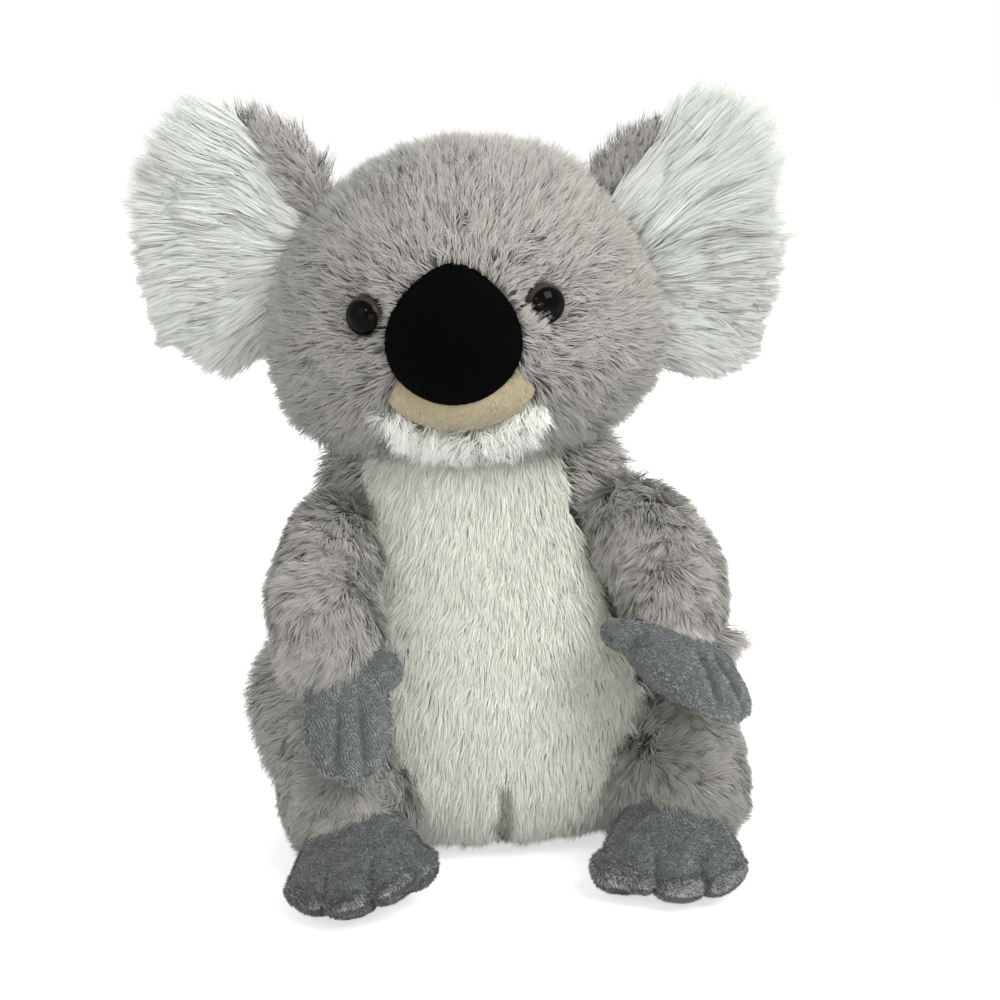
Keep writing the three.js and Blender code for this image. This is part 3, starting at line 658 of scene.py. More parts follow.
def paw_form(curve, start, wide, thick, across, thumb, thumb_size, stitched, web=0, curl=0.0):
    """A flat mitten with a digit that stands off it, and two stitched lines that part three more.

    The stitched lines run round the share stitched[0] of the limb, for stitched[1] each way.
    """
    knuckles = curve([0.8])[0] - curve([0.7])[0]
    forms = [stuffed(curve(np.linspace(start, 1, 5)), wide, thick, across, 4, 2, 0, 40, 56),
             stuffed(thumb, [thumb_size[0]] * 2, [thumb_size[1]] * 2, knuckles, 4, 2, 0, 28, 28)]
    if web:
        between = [thumb[0] * 0.45 + thumb[1] * 0.55, curve([0.9])[0]]
        forms.append(stuffed(between, [web, web], [9, 9], thumb[0] - thumb[1], 3, 2, 4, 28, 28))
    made = joined(forms, 0.8, 10)

    # Where each point lies: along the limb, beside the paw's middle line and above it
    spine = curve(np.linspace(start, 1, 60))
    ahead = unit(np.gradient(spine, axis=0))
    side = square_to(across, ahead)
    upward = np.cross(ahead, side)
    near = nearest(spine, made.points)
    off = made.points - spine[near]
    share = near / (len(spine) - 1) + (off * ahead[near]).sum(1) / np.linalg.norm(spine[-1] - spine[0])
    beside, height = (off * side[near]).sum(1), (off * upward[near]).sum(1)
    faces_up = (made.normals * upward[near]).sum(1)
    points = made.points.copy()

    # Two stitched lines in a broader dip, which spread towards the tips and notch the front edge
    creases = np.zeros(len(points))
    run = np.exp(-(np.abs(share - stitched[0]) / stitched[1]) ** 4)
    for k in (-1, 1):
        line = k * np.max(wide) * (0.09 + 0.1 * np.clip(share, 0, 1))
        groove, broad, notch = (np.exp(-((beside - line) / half) ** 2) for half in (1.5, 4.5, 3.0))
        groove, broad, notch = groove * run, broad * run, notch * np.clip((share - 0.85) / 0.15, 0, 1)
        points -= made.normals * (1.5 * groove + 1.2 * broad)[:, None] + ahead[near] * (1.5 * notch)[:, None]
        creases = np.maximum(creases, groove)

    # The curl of the front edge, behind a shallow fold, by how far each point is behind that edge
    strip, lip_end, fold_at, curl_end = 3, 0.1, 0.11, 0.18
    band = (beside - beside.min()) / strip
    front = np.zeros(np.round(band).astype(int).max() + 1)
    np.maximum.at(front, np.round(band).astype(int), share)
    behind = np.interp(band, np.arange(len(front)), front) - share
    lip = np.clip((lip_end - behind) / 0.03, 0, 1) * (share > 0.7) * (curl > 0)
    fold = np.exp(-((behind - fold_at) / 0.02) ** 2) * (share > 0.7) * np.clip(faces_up, 0, 1)
    raised = np.clip(1 - behind / curl_end, 0, 1) ** 2 * (share > 0.6)
    points += upward[near] * (curl * (raised - 0.6 * fold))[:, None]

    # The edge seam, which stands a little proud
    seam_size = 0.9
    rim = np.exp(-(height / seam_size) ** 2) * np.clip(1.4 - np.abs(faces_up) * 1.6, 0, 1)
    paw = SewnForm(points + made.normals * (seam_size * rim)[:, None], made.faces)
    paw.spine, paw.upward, paw.ahead, paw.side = spine, upward, ahead, side
    # The creases and the fold behind a foot's curled front are kept for the nap's painted shade
    paw.creases, paw.lip = np.maximum(creases, fold * (curl > 0)), lip
    return paw


def nap(name, paw, body, count, length, seed, pale=0.05, where=None, material=velboa_nap):
    """Short velboa nap over a paw in faint ribs, with painted light where it stands out of the edge seam."""
    rib_gap, seam_half = 1.2, 1.5

    def off_spine(places):
        """The nearest point of the paw's middle line, and how far off it each place is."""
        near = nearest(paw.spine, places)
        return near, places - paw.spine[near]

    def comb(places, outward):
        near, _ = off_spine(places)
        return paw.ahead[near] + 0.5 * paw.side[near]

    def seam(places):
        near, off = off_spine(places)
        return np.exp(-((off * paw.upward[near]).sum(1) / seam_half) ** 2)

    def to_ribs(places):
        near, off = off_spine(places)
        slope = paw.side[near] - 0.5 * paw.ahead[near]
        ribs = (off * paw.side[near]).sum(1) - 0.5 * (places @ paw.ahead[30])
        ribs = ribs / rib_gap + 0.8 * waves(places, 9, seed)[:, 0]
        return slope * (0.8 * rib_gap * (np.round(ribs) - ribs) / (slope ** 2).sum(1))[:, None]

    # Painted light along the edge seam's rim, and painted shade in the stitched creases and the fold behind a
    # foot's curled front, over the nap's own random tone
    def shade(places):
        skin, near = nearest(paw.points, places), nearest(paw.spine, places)
        edge = np.clip(1.3 - 1.6 * np.abs((paw.normals[skin] * paw.upward[near]).sum(1)), 0, 1)
        return (0.8 * seam(places) * edge + 0.16 * waves(places, 5, seed + 1)[:, 0]
                - 0.7 * paw.creases[skin] + pale)

    pile(name, paw, material, body, [], count, length, comb, seed, where, width=0.24,
         stand=(64, 46), tuft=1.2, gather=0.3, swirl=0.3, swirl_length=9, stray=0.2, brighten=shade,
         shorten=lambda places: 1 + 0.4 * seam(places), lean=0.12, own_normal=0.4, press=to_ribs)


paws = {}
thumbs = {"right": (0.6, 0, 0.2), "left": (-0.97, -0.1, 0.24)}
big_toes = {"right": (0.96, 0.08, 0.12), "left": (-1, -0.1, -0.12)}
hand_sizes = {"right": (30.5, 0.77, 0), "left": (32, 0.8, 20)}  # breadth, share at the tips, web
foot_tips = {"right": 0.76, "left": 0.92}
for seed, side in enumerate(sides):
    breadth, tips, web = hand_sizes[side]
    start = arm_curve(side, [0.71])[0]
    hand = paws[f"hand_{side}"] = paw_form(
        lambda shares: arm_curve(side, shares), 0.6, breadth * np.array([0.7, 0.95, 1, tips]),
        15 * np.array([1.2, 1, 0.9, 0.66]), hand_across[side], (start, start + 34 * np.array(thumbs[side])),
        (15, 10.5), (0.66, 0.26), web)
    cloth_piece(f"hand_{side}", hand, velboa, f"arm_{side}",
                [f"hand_back_{side}", f"hand_palm_{side}"])
    nap(f"hand_nap_{side}", hand, f"arm_{side}", 27000, 1.55, 71 + seed)

    start = leg_curve(side, [0.8])[0]
    foot = paws[f"foot_{side}"] = paw_form(
        lambda shares: leg_curve(side, shares), 0.42, 51 * np.array([0.5, 0.8, 1, foot_tips[side]]),
        20 * np.array([1.1, 1.3, 1, 0.62]), foot_across[side], (start, start + 31 * np.array(big_toes[side])),
        (22, 14), (0.9, 0.2), 0, 3.5)
    cloth_piece(f"foot_{side}", foot, velboa, f"leg_{side}",
                [f"foot_top_{side}", f"foot_sole_{side}"])

    def on_lip(places, outward):
        return foot.lip[nearest(foot.points, places)] > 0.5

    # The nap on each foot's curled-up front is the paler one, as painted light where the front turns up
    nap(f"foot_nap_{side}", foot, f"leg_{side}", 32000, 2.0, 73 + seed, 0.3, lambda p, n: ~on_lip(p, n))
    nap(f"sole_nap_painted_light_{side}", foot, f"leg_{side}", 32000, 2.0, 75 + seed, 0.1, on_lip, sole_nap_painted_light)


# Legs
# Haunches of the torso's grey plush, sewn to its sides, filled, and flattened where they rest on
# the floor. Each narrows to the foot, and its pile falls over the foot's upper seam.
ankles = {side: leg_curve(side, [ankle_share])[0] for side in sides}


def ankle_crease(side, places):
    """How near each place is to the fold above the right foot."""
    return np.exp(-((places[:, 2] - 36 + 0.15 * places[:, 0]) / 3) ** 2) * (side == "right")


def leg_length(side, places):
    """Longer pile over the foot, and shorter on the outer side and in the fold."""
    longer = 1 + 0.5 * nearness(places, ankles[side], 22)
    outer = np.clip((np.abs(places[:, 0]) - 66) / 14, 0, 1) * (0.45 if side == "right" else 0.2)
    return longer * (1 - outer) * (1 - 0.35 * ankle_crease(side, places))


def leg_tone_and_painted_shade(side, places):
    """Painted shade over a random tone: darker in the fold above the right foot and just over that foot, and
    on the left leg, which the arm shades, in locks along its folds.
    """
    tone = -0.6 * ankle_crease(side, places) + 0.26 * waves(places, 12, 5)[:, 0]
    if side == "right":
        return tone - 0.6 * nearness(places, ankles[side] + (0, 0, 8), 18)
    return tone - 0.75 + 0.3 * np.sin(places[:, 0] / 3 + 2.5 * waves(places, 30, 6)[:, 0])


leg_tufts = {"right": (1.8, (52, 20)), "left": (2.4, (64, 34))}  # tuft size, and how the pile stands
for seed, side in enumerate(sides):
    away = -0.55 if side == "right" else 0.55
    tuft, stand = leg_tufts[side]
    cloth_piece(f"leg_backing_{side}", leg_skins[side], grey_backing, f"leg_{side}",
                [f"leg_filling_{side}"])
    pile(f"leg_plush_{side}", leg_skins[side], grey_pile, f"leg_{side}",
         [f"leg_cover_{side}"], 42000, 13.5, lambda p, n: np.zeros_like(p) + (away, -0.1, -0.8), 21 + seed,
         clear_of=[torso_skin], over=[paws[f"foot_{side}"]], swirl=0.65, swirl_length=17, gather=0.5,
         tuft=tuft, stand=stand, width=0.36, shorten=lambda p: leg_length(side, p),
         brighten=lambda p: leg_tone_and_painted_shade(side, p))


# Arms
# Sleeves of the same grey plush, filled, closed and sewn to the shoulders, with the hands sewn into
# their ends. The pile falls over the top of the hands.
def arm_comb(side, places):
    route = arm_curve(side, np.linspace(0, 0.9, 12))
    flow = np.zeros_like(places) + unit(route[-1] - route[0])
    flow = flow + ((-0.8, 0.1, -0.3) if side == "right" else (-0.2, 0.1, -0.7))
    near = nearness(places, route[9], 20) * (side == "right")
    return flow + near[:, None] * (0.75, 0, -1.1)


def sleeve_length(side, places):
    """Longer pile at the wrist's lower edge and on the left shoulder, and shorter on the outer sides."""
    wrist = arm_curve(side, [0.74])[0]
    near = nearness(places, wrist, 24)
    if side == "left":
        top, outer = nearness(places, (52, -12, 150), 15), nearness(places, (76, -25, 125), 18)
        return 1 - 0.2 * near + 1.0 * top - 0.25 * outer
    inner = np.clip((places[:, 0] - wrist[0] + 2) / 10, 0, 1)
    low = np.clip((wrist[0] - 5 - places[:, 0]) / 9, 0, 1)
    return 1 + near * (0.6 - 1.1 * inner + 0.7 * low) - 0.35 * nearness(places, (-88, -20, 122), 26)


for seed, side in enumerate(sides):
    cloth_piece(f"arm_backing_{side}", sleeve_skins[side], grey_backing, f"arm_{side}",
                [f"arm_filling_{side}"])
    pile(f"arm_plush_{side}", sleeve_skins[side], grey_pile, f"arm_{side}",
         [f"arm_cover_{side}"], 49000, 13.5, lambda p, n: arm_comb(side, p), 31 + seed,
         clear_of=[torso_skin], over=[paws[f"hand_{side}"]], swirl=0.65, swirl_length=17, gather=0.5,
         stand=(52, 20), width=0.32, shorten=lambda p: sleeve_length(side, p))

# The sleeve's seam pushes a tuft of pile out beside the left hand
tuft_root = arm_curve("left", [0.67])[0] + 12 * unit(np.array(hand_across["left"]))
pile("wrist_tuft", sleeve_skins["left"], grey_pile, "arm_left", [], 14000, 21,
     lambda p, n: np.zeros_like(p) + (0.8, 0, -1), 35, over=[paws["hand_left"]],
     where=lambda p, n: np.linalg.norm(p - tuft_root, axis=1) < 9.5,
     stand=(66, 50), gather=0.6, tuft=5, swirl=0.1, brighten=lambda p: 0.25)


# Head
# Grey plush, sewn from a face, two sides and a back into a wide bun over its filling. It sits turned
# and tipped a little on the neck, and its pile is brushed away from the nose.
head_place = Matrix.Translation((-torso_lean, 0, neck_height)) @ Matrix.Rotation(math.radians(-8.5), 4, "Z")
face_place = head_place @ Matrix.Rotation(math.radians(-4.5), 4, "Y")
face_axes = np.array(face_place.to_3x3())
face_middle, nose_rise, face_front = 4.5, 47.5, -67.0


def head_form(grow):
    route = [[face_middle, -6, -14], [face_middle, -6, 113]]
    wide, deep = 148 * np.array([0.94, 1.05, 0.93, 0.72]), 122 * np.array([0.84, 1.04, 0.98, 0.78])
    return stuffed(route, wide, deep, (1, 0, 0), 3.0, 2, grow, 90, 110, face_place)


def on_face(places):
    """The places in the upright head's own frame."""
    return in_place(places, face_place.inverted())


head_skin = head_form(-cloth_depth)
nose_middle = in_place(np.array([[face_middle, face_front, nose_rise]]), face_place)[0]
cloth_piece("head_fibre", head_form(-fibre_depth), fibre, "head", ["head_filling"])
cloth_piece("head_backing", head_skin, grey_backing, "head")

# Each eye's middle and the way it looks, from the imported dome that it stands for
eyes = {}
eye_spread = math.radians(24)
for side, sign in (("right", -1), ("left", 1)):
    aim = np.array(face_place.to_3x3() @ Vector((sign * math.sin(eye_spread), -math.cos(eye_spread), 0)))
    cad_eye = np.array([v.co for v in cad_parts[f"eye_dome_{side}"].data.vertices]) / mm
    depth = cad_eye @ aim
    eyes[side] = (cad_eye[depth < depth.min() + 0.1].mean(0), aim)


def off_axis(places, eye):
    """How far each place is off the line that an eye looks along."""
    middle, aim = eye
    return places - middle - aim * ((places - middle) @ aim)[:, None]


def in_oval(places, rise, half_wide, half_high):
    """Which places of the head's front lie in an oval, whose middle is this far above the nose's."""
    p = on_face(places)
    x, z = p[:, 0] - face_middle, p[:, 2] - nose_rise - rise
    return (p[:, 1] < -10) & ((x / half_wide) ** 2 + (z / half_high) ** 2 < 1)


def under_nose(places):
    above = np.clip(on_face(places)[:, 2] - nose_rise, 0, 24)
    return in_oval(places, 0, 23.0 - 0.2 * above, 23)


def on_mouth(places, margin=0.0):
    return in_oval(places, -17, 26 - margin, 21 - margin) & (on_face(places)[:, 2] - nose_rise < -16)


def on_chin(places, margin=0.0):
    below = on_face(places)[:, 2] - nose_rise < -25
    return in_oval(places, -14, 31, 36) & ~on_mouth(places, margin) & below


def head_comb(places, outward):
    """Away from the nose in front, and backwards and down behind."""
    p, n = on_face(places), outward @ face_axes
    away = unit(np.column_stack([p[:, 0] - face_middle, 0 * p[:, 0], p[:, 2] - nose_rise]))
    front = np.clip((-n[:, 1] + 0.15) / 0.5, 0, 1)[:, None]
    backward = np.zeros_like(p) + (0, 0.8, -0.6)
    flow = away * front + backward * (1 - front) + (0, 0.4, 0) + np.clip(n[:, 2:], 0, 1) ** 2 * (0, 1.6, 0)
    return flow @ face_axes.T


def head_length(places):
    """Shorter pile round the eyes, and fuller low cheeks and crown."""
    p = on_face(places)
    low = np.clip((np.abs(p[:, 0]) - 30) / 20, 0, 1) * np.clip((30 - p[:, 2]) / 16, 0, 1)
    share = 1 + low * np.where(p[:, 0] < 0, 0.6, 0.25)
    share += 0.55 * np.exp(-((p[:, 0] - 46) / 20) ** 2 - ((p[:, 2] - 100) / 16) ** 2)
    for eye in eyes.values():
        far = np.linalg.norm(off_axis(places, eye), axis=1)
        close = far < 14
        share[close] = np.minimum(share[close], np.clip((far[close] - 4) / 9, 0.42, 1))
    return share


def off_eyes(places):
    clear = np.ones(len(places), bool)
    for eye in eyes.values():
        beside = np.linalg.norm(off_axis(places, eye), axis=1) > 7.3
        clear &= beside | (np.linalg.norm(places - eye[0], axis=1) > 20)
    return clear


pile("head_plush", head_skin, grey_pile, "head", ["head_cover"], 99000, 11, head_comb, 41,
     where=lambda p, n: (~under_nose(p) & ~on_chin(p) & ~on_mouth(p) & off_eyes(p)
                         & (p[:, 2] > neck_height - 6)),
     shorten=head_length, swirl=0.6, swirl_length=18, stand=(72, 46), tuft=1.6, lean=0.28, stray=0.42,
     gather=0.45, own_normal=0.18)

# A tuft from below lies over the inner corner of the left eye
eye_middle, eye_aim = eyes["left"]
over_nose = eye_middle - nose_middle + (0, 0, 32)
tuft_way = unit(over_nose - eye_aim * (eye_aim @ over_nose))


def under_eye(places, outward):
    off = off_axis(places, eyes["left"])
    far = np.linalg.norm(off, axis=1)
    return (far > 6.6) & (far < 12) & (off @ tuft_way < -0.86 * far) & (places[:, 1] < 0)


pile("eye_tuft", head_skin, grey_pile, "head", [], 110000, 10,
     lambda p, n: np.zeros_like(p) + tuft_way, 43, where=under_eye, stand=(62, 40), gather=0.5,
     tuft=4.5, swirl=0.2, stray=0.2)


# Chin
# A crescent of white plush under the mouth, sewn to the face along its upper edge, with its pile
# brushed down into a fringe.
cloth_piece("chin_backing", patch(head_skin, on_chin, 1.0), white_backing, "head")


def chin_comb(places, outward):
    p = on_face(places)
    return np.column_stack([(p[:, 0] - face_middle) * 0.012, 0 * p[:, 0] - 0.1, 0 * p[:, 0] - 1])


# A whiter copy of the belly's pile, as painted light against the shade under the nose and mouth, and
# shaded as if it faced up and forward, so that the fringe is the brightest thing on the toy
chin_pile_painted_light = plush_pile("white_chin_plush_painted_light", "#F0F2E7", "#F8F9F0", "#FCFDF8", dark=0.9)
pile("chin_plush", head_skin, chin_pile_painted_light, "head", ["chin_panel"], 42000, 12.5, chin_comb, 51,
     where=lambda p, n: on_chin(p, 2.0), stand=(62, 34), gather=0.4, tuft=2.4, own_normal=0.2, lean=0.26,
     swirl=0.5, swirl_length=14, width=0.38, facing=(0, -0.5, 0.6))


# Mouth
# A narrow band of tan velboa with a little padding behind it, sewn to the face below the nose. Its
# short nap is brushed down.

# Brushed polyester velboa in tan: matt, with specks of about 1.1 mm, coarser than the real fibres
# so that they show, the lower specks painted darker as their shade, and a faint sheen
tan_velboa = bare_material("tan_velboa")
tan_specks = node(tan_velboa, "ShaderNodeTexNoise", {"Scale": specks(1.11), "Detail": 4.0, "Roughness": 0.65})
tan_shade = node(tan_velboa, "ShaderNodeMixRGB", {
    "Fac": tan_specks.outputs["Fac"], "Color1": linear("#A69B7C"), "Color2": linear("#C8BB9C"),
})
tan_fuzz = node(tan_velboa, "ShaderNodeBump", {
    "Strength": 0.5, "Distance": 0.5 * mm, "Height": tan_specks.outputs["Fac"],
})
cloth = node(tan_velboa, "ShaderNodeBsdfPrincipled", {
    "Base Color": tan_shade.outputs["Color"], "Roughness": 0.9, "Sheen Weight": 0.3,
    "Specular IOR Level": 0.2, "Normal": tan_fuzz.outputs["Normal"],
})
node(tan_velboa, "ShaderNodeOutputMaterial", {"Surface": cloth.outputs["BSDF"]})
tan_nap = plush_pile("tan_velboa_nap", "#8A7E60", "#BAAD8D", "#DACFB6")


def mouth_form():
    """A crescent that follows the face: oval edges, a rounded front and a flat back."""
    turns, steps = np.radians(np.linspace(190, 350, 72)), np.linspace(0, 1, 15)
    face_skin = head_form(0)
    inward = face_place.to_3x3() @ Vector((0, 1, 0))
    rows = []
    for step in steps:
        x = face_middle + (22 + 6.5 * step) * np.cos(turns)
        z = nose_rise - 12 - 7.5 * step + (8 + 12.5 * step) * np.sin(turns)
        starts = in_place(np.column_stack([x, 0 * x - 150, z]), face_place)
        rows.append([face_skin.tree.ray_cast(Vector(p), inward)[:2] for p in starts])
    hits, facing = (np.array([[hit[k] for hit in row] for row in rows]) for k in (0, 1))
    ends = np.minimum(1, np.minimum(turns - turns[0], turns[-1] - turns) / 0.06) ** 0.5
    puff = 4.2 * np.sqrt(np.maximum(0, 1 - (2 * steps - 1) ** 2))[:, None] * ends[None]
    front = hits + facing * (puff - 5.4)[..., None]
    behind = hits - facing * 7.9
    n, m = len(steps), len(turns)
    index = np.arange(n * m).reshape(n, m)
    quads = np.stack([index[:-1, :-1], index[:-1, 1:], index[1:, 1:], index[1:, :-1]], -1).reshape(-1, 4)
    edge = np.concatenate([index[0], index[1:, -1], index[-1, -2::-1], index[-2:0:-1, 0]])
    ring = np.column_stack([edge, np.roll(edge, -1), np.roll(edge, -1) + n * m, edge + n * m])
    quads = np.vstack([quads, quads[:, ::-1] + n * m, ring[:, ::-1]])
    faces = np.vstack([quads[:, [0, 1, 2]], quads[:, [0, 2, 3]]])
    form = SewnForm(np.vstack([front.reshape(-1, 3), behind.reshape(-1, 3)]), faces)
    away = form.normals[:n * m].mean(0) @ facing.reshape(-1, 3).mean(0)
    return form if away > 0 else SewnForm(form.points, faces[:, ::-1])


mouth = mouth_form()
cloth_piece("mouth", mouth, tan_velboa, "head", ["mouth_band"])
pile("mouth_nap", mouth, tan_nap, "head", [], 9000, 1.7, chin_comb, 81,
     where=lambda p, n: (n @ face_axes)[:, 1] < 0, width=0.26, stand=(50, 30), tuft=1.0, gather=0.2,
     stray=0.25, lean=0.1)


# Nose
# An upright egg of black velour, cut in two halves, filled firmly and sewn on so that it stands
# proud of the face.

# Cut-pile polyester velour, dyed black: so matt that no light comes back from it, over specks of
# 1.4 mm that are coarser than the real pile so that they show, with painted shade on the lower ones
velour = bare_material("black_velour")
lie = node(velour, "ShaderNodeTexNoise", {"Scale": specks(1.43), "Detail": 5.0, "Roughness": 0.7})
black = node(velour, "ShaderNodeMixRGB", {
    "Fac": lie.outputs["Fac"], "Color1": linear("#010202"), "Color2": linear("#040506"),
})
velour_fuzz = node(velour, "ShaderNodeBump", {
    "Strength": 0.5, "Distance": 0.4 * mm, "Height": lie.outputs["Fac"],
})
cloth = node(velour, "ShaderNodeBsdfPrincipled", {
    "Base Color": black.outputs["Color"], "Roughness": 1.0, "Specular IOR Level": 0.04,
    "Normal": velour_fuzz.outputs["Normal"],
})
node(velour, "ShaderNodeOutputMaterial", {"Surface": cloth.outputs["BSDF"]})
velour_nap = plush_pile("black_velour_nap", "#010101", "#020303", "#050707", sheen=0.0, gloss=0.0)

nose_route = [[face_middle - 3, face_front + 9, nose_rise - 26.2],
              [face_middle + 1, face_front + 9, nose_rise + 25.4]]
nose_widths, nose_depths = 49 * np.array([1.04, 1.04, 0.95, 0.7]), 47 * np.array([0.9, 1, 0.95, 0.8])
nose = stuffed(nose_route, nose_widths, nose_depths, (1, 0, 0), 2.1, 2, 0, 48, 64, face_place)
cloth_piece("nose", nose, velour, "head", ["nose_pad", "nose_filling"])
pile("nose_nap", nose, velour_nap, "head", [], 10000, 1.3,
     lambda p, n: np.zeros_like(p) + (0, 0, -1), 83, width=0.26, stand=(60, 40), tuft=1.0, gather=0.2,
     stray=0.3, lean=0.1, own_normal=0.1)


# Eyes
# Stock safety eyes: a clear polished dome over a dark brown iris and a black pupil, on a black
# plate and post that a washer holds inside the head.
eye_radius, eye_height, pupil_edge = 7.5, 5.2, (0.84, 0.9)

# Moulded acrylic with the usual index of about 1.5, polished, so that small lamps show sharp in it.
# Its gloss is held low, because here the studio is white all round.
eye_plastic = bare_material("polished_acrylic_eye")
chart = node(eye_plastic, "ShaderNodeUVMap", uv_map="OFBake")
place = node(eye_plastic, "ShaderNodeSeparateXYZ", {"Vector": chart.outputs["UV"]})
pupil = node(eye_plastic, "ShaderNodeMapRange", {
    "Value": place.outputs["Y"], "From Min": pupil_edge[0], "From Max": pupil_edge[1],
})
iris = node(eye_plastic, "ShaderNodeMixRGB", {
    "Fac": pupil.outputs["Result"], "Color1": linear("#030303"), "Color2": linear("#3E3733"),
})
polish = node(eye_plastic, "ShaderNodeBsdfPrincipled", {
    "Base Color": iris.outputs["Color"], "Roughness": 0.03, "Specular IOR Level": 0.06,
})
node(eye_plastic, "ShaderNodeOutputMaterial", {"Surface": polish.outputs["BSDF"]})

rings, around = 16, 48
turn = np.linspace(0, 2 * np.pi, around + 1)[:-1, None]
for side, (middle, aim) in eyes.items():
    right = unit(np.cross(aim, (0, 0, 1)))
    up = np.cross(right, aim)
    circle = np.cos(turn) * right + np.sin(turn) * up
    rows = [middle[None]]
    for a in np.linspace(0, np.pi / 2, rings + 1)[:-1]:
        rows.append(middle + circle * eye_radius * math.cos(a) + aim * eye_height * math.sin(a))
    rows.append((middle + aim * eye_height)[None])
    dome = SewnForm(np.vstack(rows), ring_faces(rings, around))
    mesh = form_mesh(f"eye_{side}", dome)
    off = off_axis(dome.points, eyes[side])
    reach = np.linalg.norm(off, axis=1) / eye_radius
    angle = (np.arctan2(off @ up, off @ right) / (2 * np.pi)) % 1
    mesh.uv_layers.new(name="OFBake").data.foreach_set(
        "uv", np.column_stack([angle, reach])[dome.faces.ravel()].ravel())
    add_piece(f"eye_{side}", mesh, eye_plastic, "head", [f"eye_dome_{side}"])

# The plate and post are moulded nylon and the washer is moulded polyethylene: both half matt, with
# a fine grain of about 1 mm from the mould
for part, name, colour in (("post", "moulded_black_nylon", "#121212"),
                           ("washer", "moulded_natural_polyethylene", "#E4E4DE")):
    plastic = bare_material(name)
    grain = node(plastic, "ShaderNodeTexNoise", {"Scale": specks(1.11), "Detail": 3.0})
    dents = node(plastic, "ShaderNodeBump", {
        "Strength": 0.2, "Distance": 0.2 * mm, "Height": grain.outputs["Fac"],
    })
    moulded = node(plastic, "ShaderNodeBsdfPrincipled", {
        "Base Color": linear(colour), "Roughness": 0.5, "Normal": dents.outputs["Normal"],
    })
    node(plastic, "ShaderNodeOutputMaterial", {"Surface": moulded.outputs["BSDF"]})
    for side in sides:
        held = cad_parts[f"eye_{part}_{side}"]
        held.data.materials.clear()
        held.data.materials.append(plastic)


# Ears
# Flat two-layer ears, sewn into the head's side seams: extra long white pile in front, in locks that
# run out past the rim, and the head's grey plush behind, which laps over the upper edge.
ear_length, ear_thick, ear_back = 65.0, 20.0, 8.0

# How far out and up each ear's root sits, how far the ear tips up, its width, where the grey laps
# over it, how steeply the upper locks rise, and the lengths of fringe and grey pile. The shares of
# the fur's length run from the lowest lock round to the top one.
ears = {
    "right": {"sign": -1, "spread": 59, "rise": 63, "tip": 16, "width": 99, "lap": (15, 0.82), "upward": 0.6,
              "fringe": 21, "grey": 15, "shares": [0.95, 1.04, 0.62, 0.8, 1.04, 1.14, 1.12, 0.8]},
    "left": {"sign": 1, "spread": 55, "rise": 57, "tip": 20, "width": 106, "lap": (22, 0.6), "upward": 0.9,
             "fringe": 27, "grey": 11, "shares": [0.82, 0.68, 0.36, 0.88, 1.0, 1.7, 1.2, 0.64]},
}
lock_angles = [-90, -65, -40, -8, 12, 32, 50, 90]

# Long acrylic-blend faux fur: cool white and almost one tone, so that only the locks' own shadows
# part them
ear_pile = plush_pile("long_white_faux_fur", "#D2D6CF", "#D9DDD6", "#E6E9E3", dark=0.88)
for side, ear in ears.items():
    sign = ear["sign"]
    ear_place = (head_place @ Matrix.Translation((sign * ear["spread"], -ear_back, ear["rise"]))
                 @ Matrix.Rotation(-sign * math.radians(ear["tip"]), 4, "Y"))
    ear_axes = np.array(ear_place.to_3x3())
    middle = ear_thick / 2
    route = [[-sign * 8, middle, 1], [sign * ear_length * 0.3, middle + 2, 2],
             [sign * ear_length * 0.56, middle, 3], [sign * ear_length * 0.78, middle - 5, 3]]
    width = (ear["width"] - 20) * np.array([0.78, 1, 1.04, 0.9])
    ear_skin = stuffed(route, width, [6, 6.5, 6.5, 6], (0, 0, 1), 3, 2, 0, 48, 64, ear_place)
    cloth_piece(f"ear_backing_{side}", ear_skin, white_backing, f"ear_{side}")

    def in_ear(places):
        return in_place(places, ear_place.inverted())

    def in_front(places, outward):
        p = in_ear(places)
        return ((outward @ ear_axes)[:, 1] < 0.2) & (p[:, 2] < ear["lap"][0] + ear["lap"][1] * sign * p[:, 0])

    def on_rim(places, outward):
        p = in_ear(places)
        across = (p[:, 2] / (ear["width"] / 2 - 14)) ** 2 + (p[:, 0] / (ear_length * 0.74)) ** 2
        return in_front(places, outward) & (across > 0.8) & (sign * p[:, 0] > 12)

    def ear_comb(places, outward):
        """Outwards like a fan from a point within the head."""
        p = in_ear(places)
        rise = (p[:, 2] - 4) * np.where(p[:, 2] > 4, ear["upward"], 1.0)
        return np.column_stack([p[:, 0] + sign * 16, 0 * p[:, 0], rise]) @ ear_axes.T

    def lock_length(places):
        p = in_ear(places)
        turned = np.degrees(np.arctan2(p[:, 2], np.maximum(sign * p[:, 0], 1)))
        return np.interp(turned, lock_angles, ear["shares"])

    pile(f"ear_fur_{side}", ear_skin, ear_pile, f"ear_{side}", [f"ear_front_{side}"], 54000, 25,
         ear_comb, 61 + sign, where=in_front, clear_of=[head_skin], stand=(30, 0), gather=0.42, tuft=2.6,
         swirl=0.4, stray=0.08, lean=0.08, clumps=3, shorten=lock_length, own_normal=0.1)
    pile(f"ear_fringe_{side}", ear_skin, ear_pile, f"ear_{side}", [], 7000, ear["fringe"],
         ear_comb, 63 + sign, where=on_rim, clear_of=[head_skin], stand=(24, -4), gather=0.8, tuft=6.5,
         swirl=0.4, swirl_length=18, stray=0.08, lean=0.2, segments=3, shorten=lock_length, own_normal=0.1)
    pile(f"ear_plush_{side}", ear_skin, grey_pile, f"ear_{side}", [f"ear_back_{side}"], 22000,
         ear["grey"], ear_comb, 65 + sign, where=lambda p, n: ~in_front(p, n), clear_of=[head_skin])


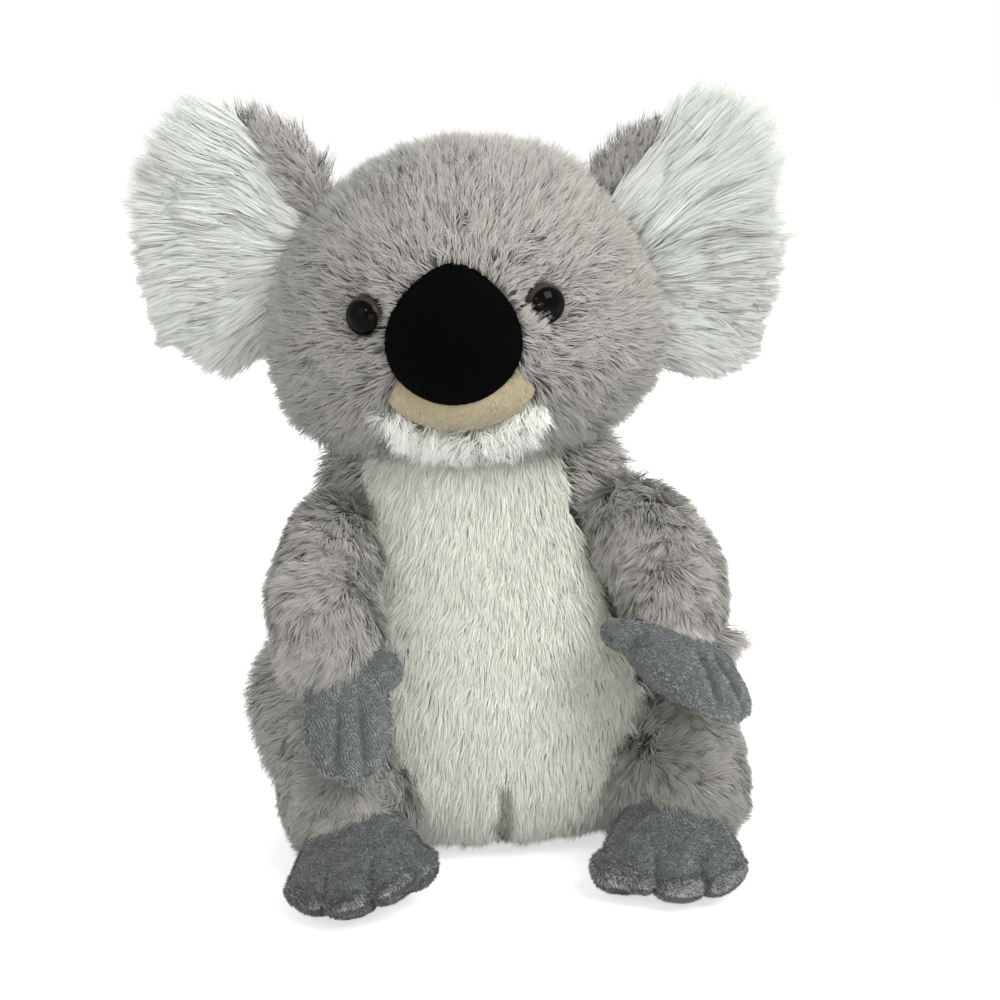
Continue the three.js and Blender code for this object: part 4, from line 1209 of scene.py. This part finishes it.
# Floor and light
# A plain pale floor under soft light from above, in front, behind and both sides, as in a product
# photograph. The floor and the air round it are white to look at, and only pale as light.
def seen_itself(owner):
    """1 where the camera, a reflection or a clear surface looks, and 0 for the light on things."""
    path = node(owner, "ShaderNodeLightPath")
    seen = path.outputs["Is Camera Ray"]
    for ray in ("Is Glossy Ray", "Is Transmission Ray"):
        either = node(owner, "ShaderNodeMath", {0: seen, 1: path.outputs[ray]}, operation="MAXIMUM")
        seen = either.outputs["Value"]
    return seen


# Matt painted board, which glows to the eye alone, just enough to look white where nothing shades it
board = bare_material("pale_floor")
glow = node(board, "ShaderNodeMath", {0: seen_itself(board), 1: 0.66}, operation="MULTIPLY")
matt = node(board, "ShaderNodeBsdfDiffuse", {"Color": linear("#D2D2D2")})
lit = node(board, "ShaderNodeEmission", {"Color": (1, 1, 1, 1), "Strength": glow.outputs["Value"]})
both = node(board, "ShaderNodeAddShader", {0: matt.outputs["BSDF"], 1: lit.outputs["Emission"]})
node(board, "ShaderNodeOutputMaterial", {"Surface": both.outputs["Shader"]})

floor_half, floor_drop = 6, 0.0002  # metres; the drop keeps the floor just under the seat
floor_mesh = bpy.data.meshes.new("floor")
floor_mesh.from_pydata([(x * floor_half, y * floor_half, 0) for x, y in ((-1, -1), (1, -1), (1, 1), (-1, 1))],
                       [], [(0, 1, 2, 3)])
floor_mesh.materials.append(board)
floor = bpy.data.objects.new("floor", floor_mesh)
floor.location.z = -floor_drop
bpy.context.scene.collection.objects.link(floor)

world = bpy.data.worlds.new("studio")
world.use_nodes = True
world.node_tree.nodes.clear()
strength = node(world, "ShaderNodeMapRange", {"Value": seen_itself(world), "To Min": 0.52, "To Max": 1.0})
sky = node(world, "ShaderNodeBackground", {"Color": (1, 1, 1, 1), "Strength": strength.outputs["Result"]})
node(world, "ShaderNodeOutputWorld", {"Surface": sky.outputs["Background"]})
bpy.context.scene.world = world

for name, place, width, watts in (
    ("key_softbox", (0.6, -0.9, 1.05), 0.7, 15.5),
    ("low_softbox", (-0.1, -1.3, 0.12), 0.6, 3.0),
    ("fill_softbox", (-1.2, -0.9, 0.6), 1.0, 3.5),
    ("back_softbox", (0.2, 1.2, 0.75), 1.0, 16.0),
    ("small_softbox", (-0.55, -1.0, 0.75), 0.1, 1.6),
):
    lamp = bpy.data.objects.new(name, bpy.data.lights.new(name, "AREA"))
    lamp.data.energy = watts
    lamp.data.size = width
    lamp.location = place
    lamp.rotation_euler = (Vector(place) - camera_aim).to_track_quat("Z", "Y").to_euler()
    bpy.context.scene.collection.objects.link(lamp)

bpy.context.scene.view_settings.view_transform = "Standard"
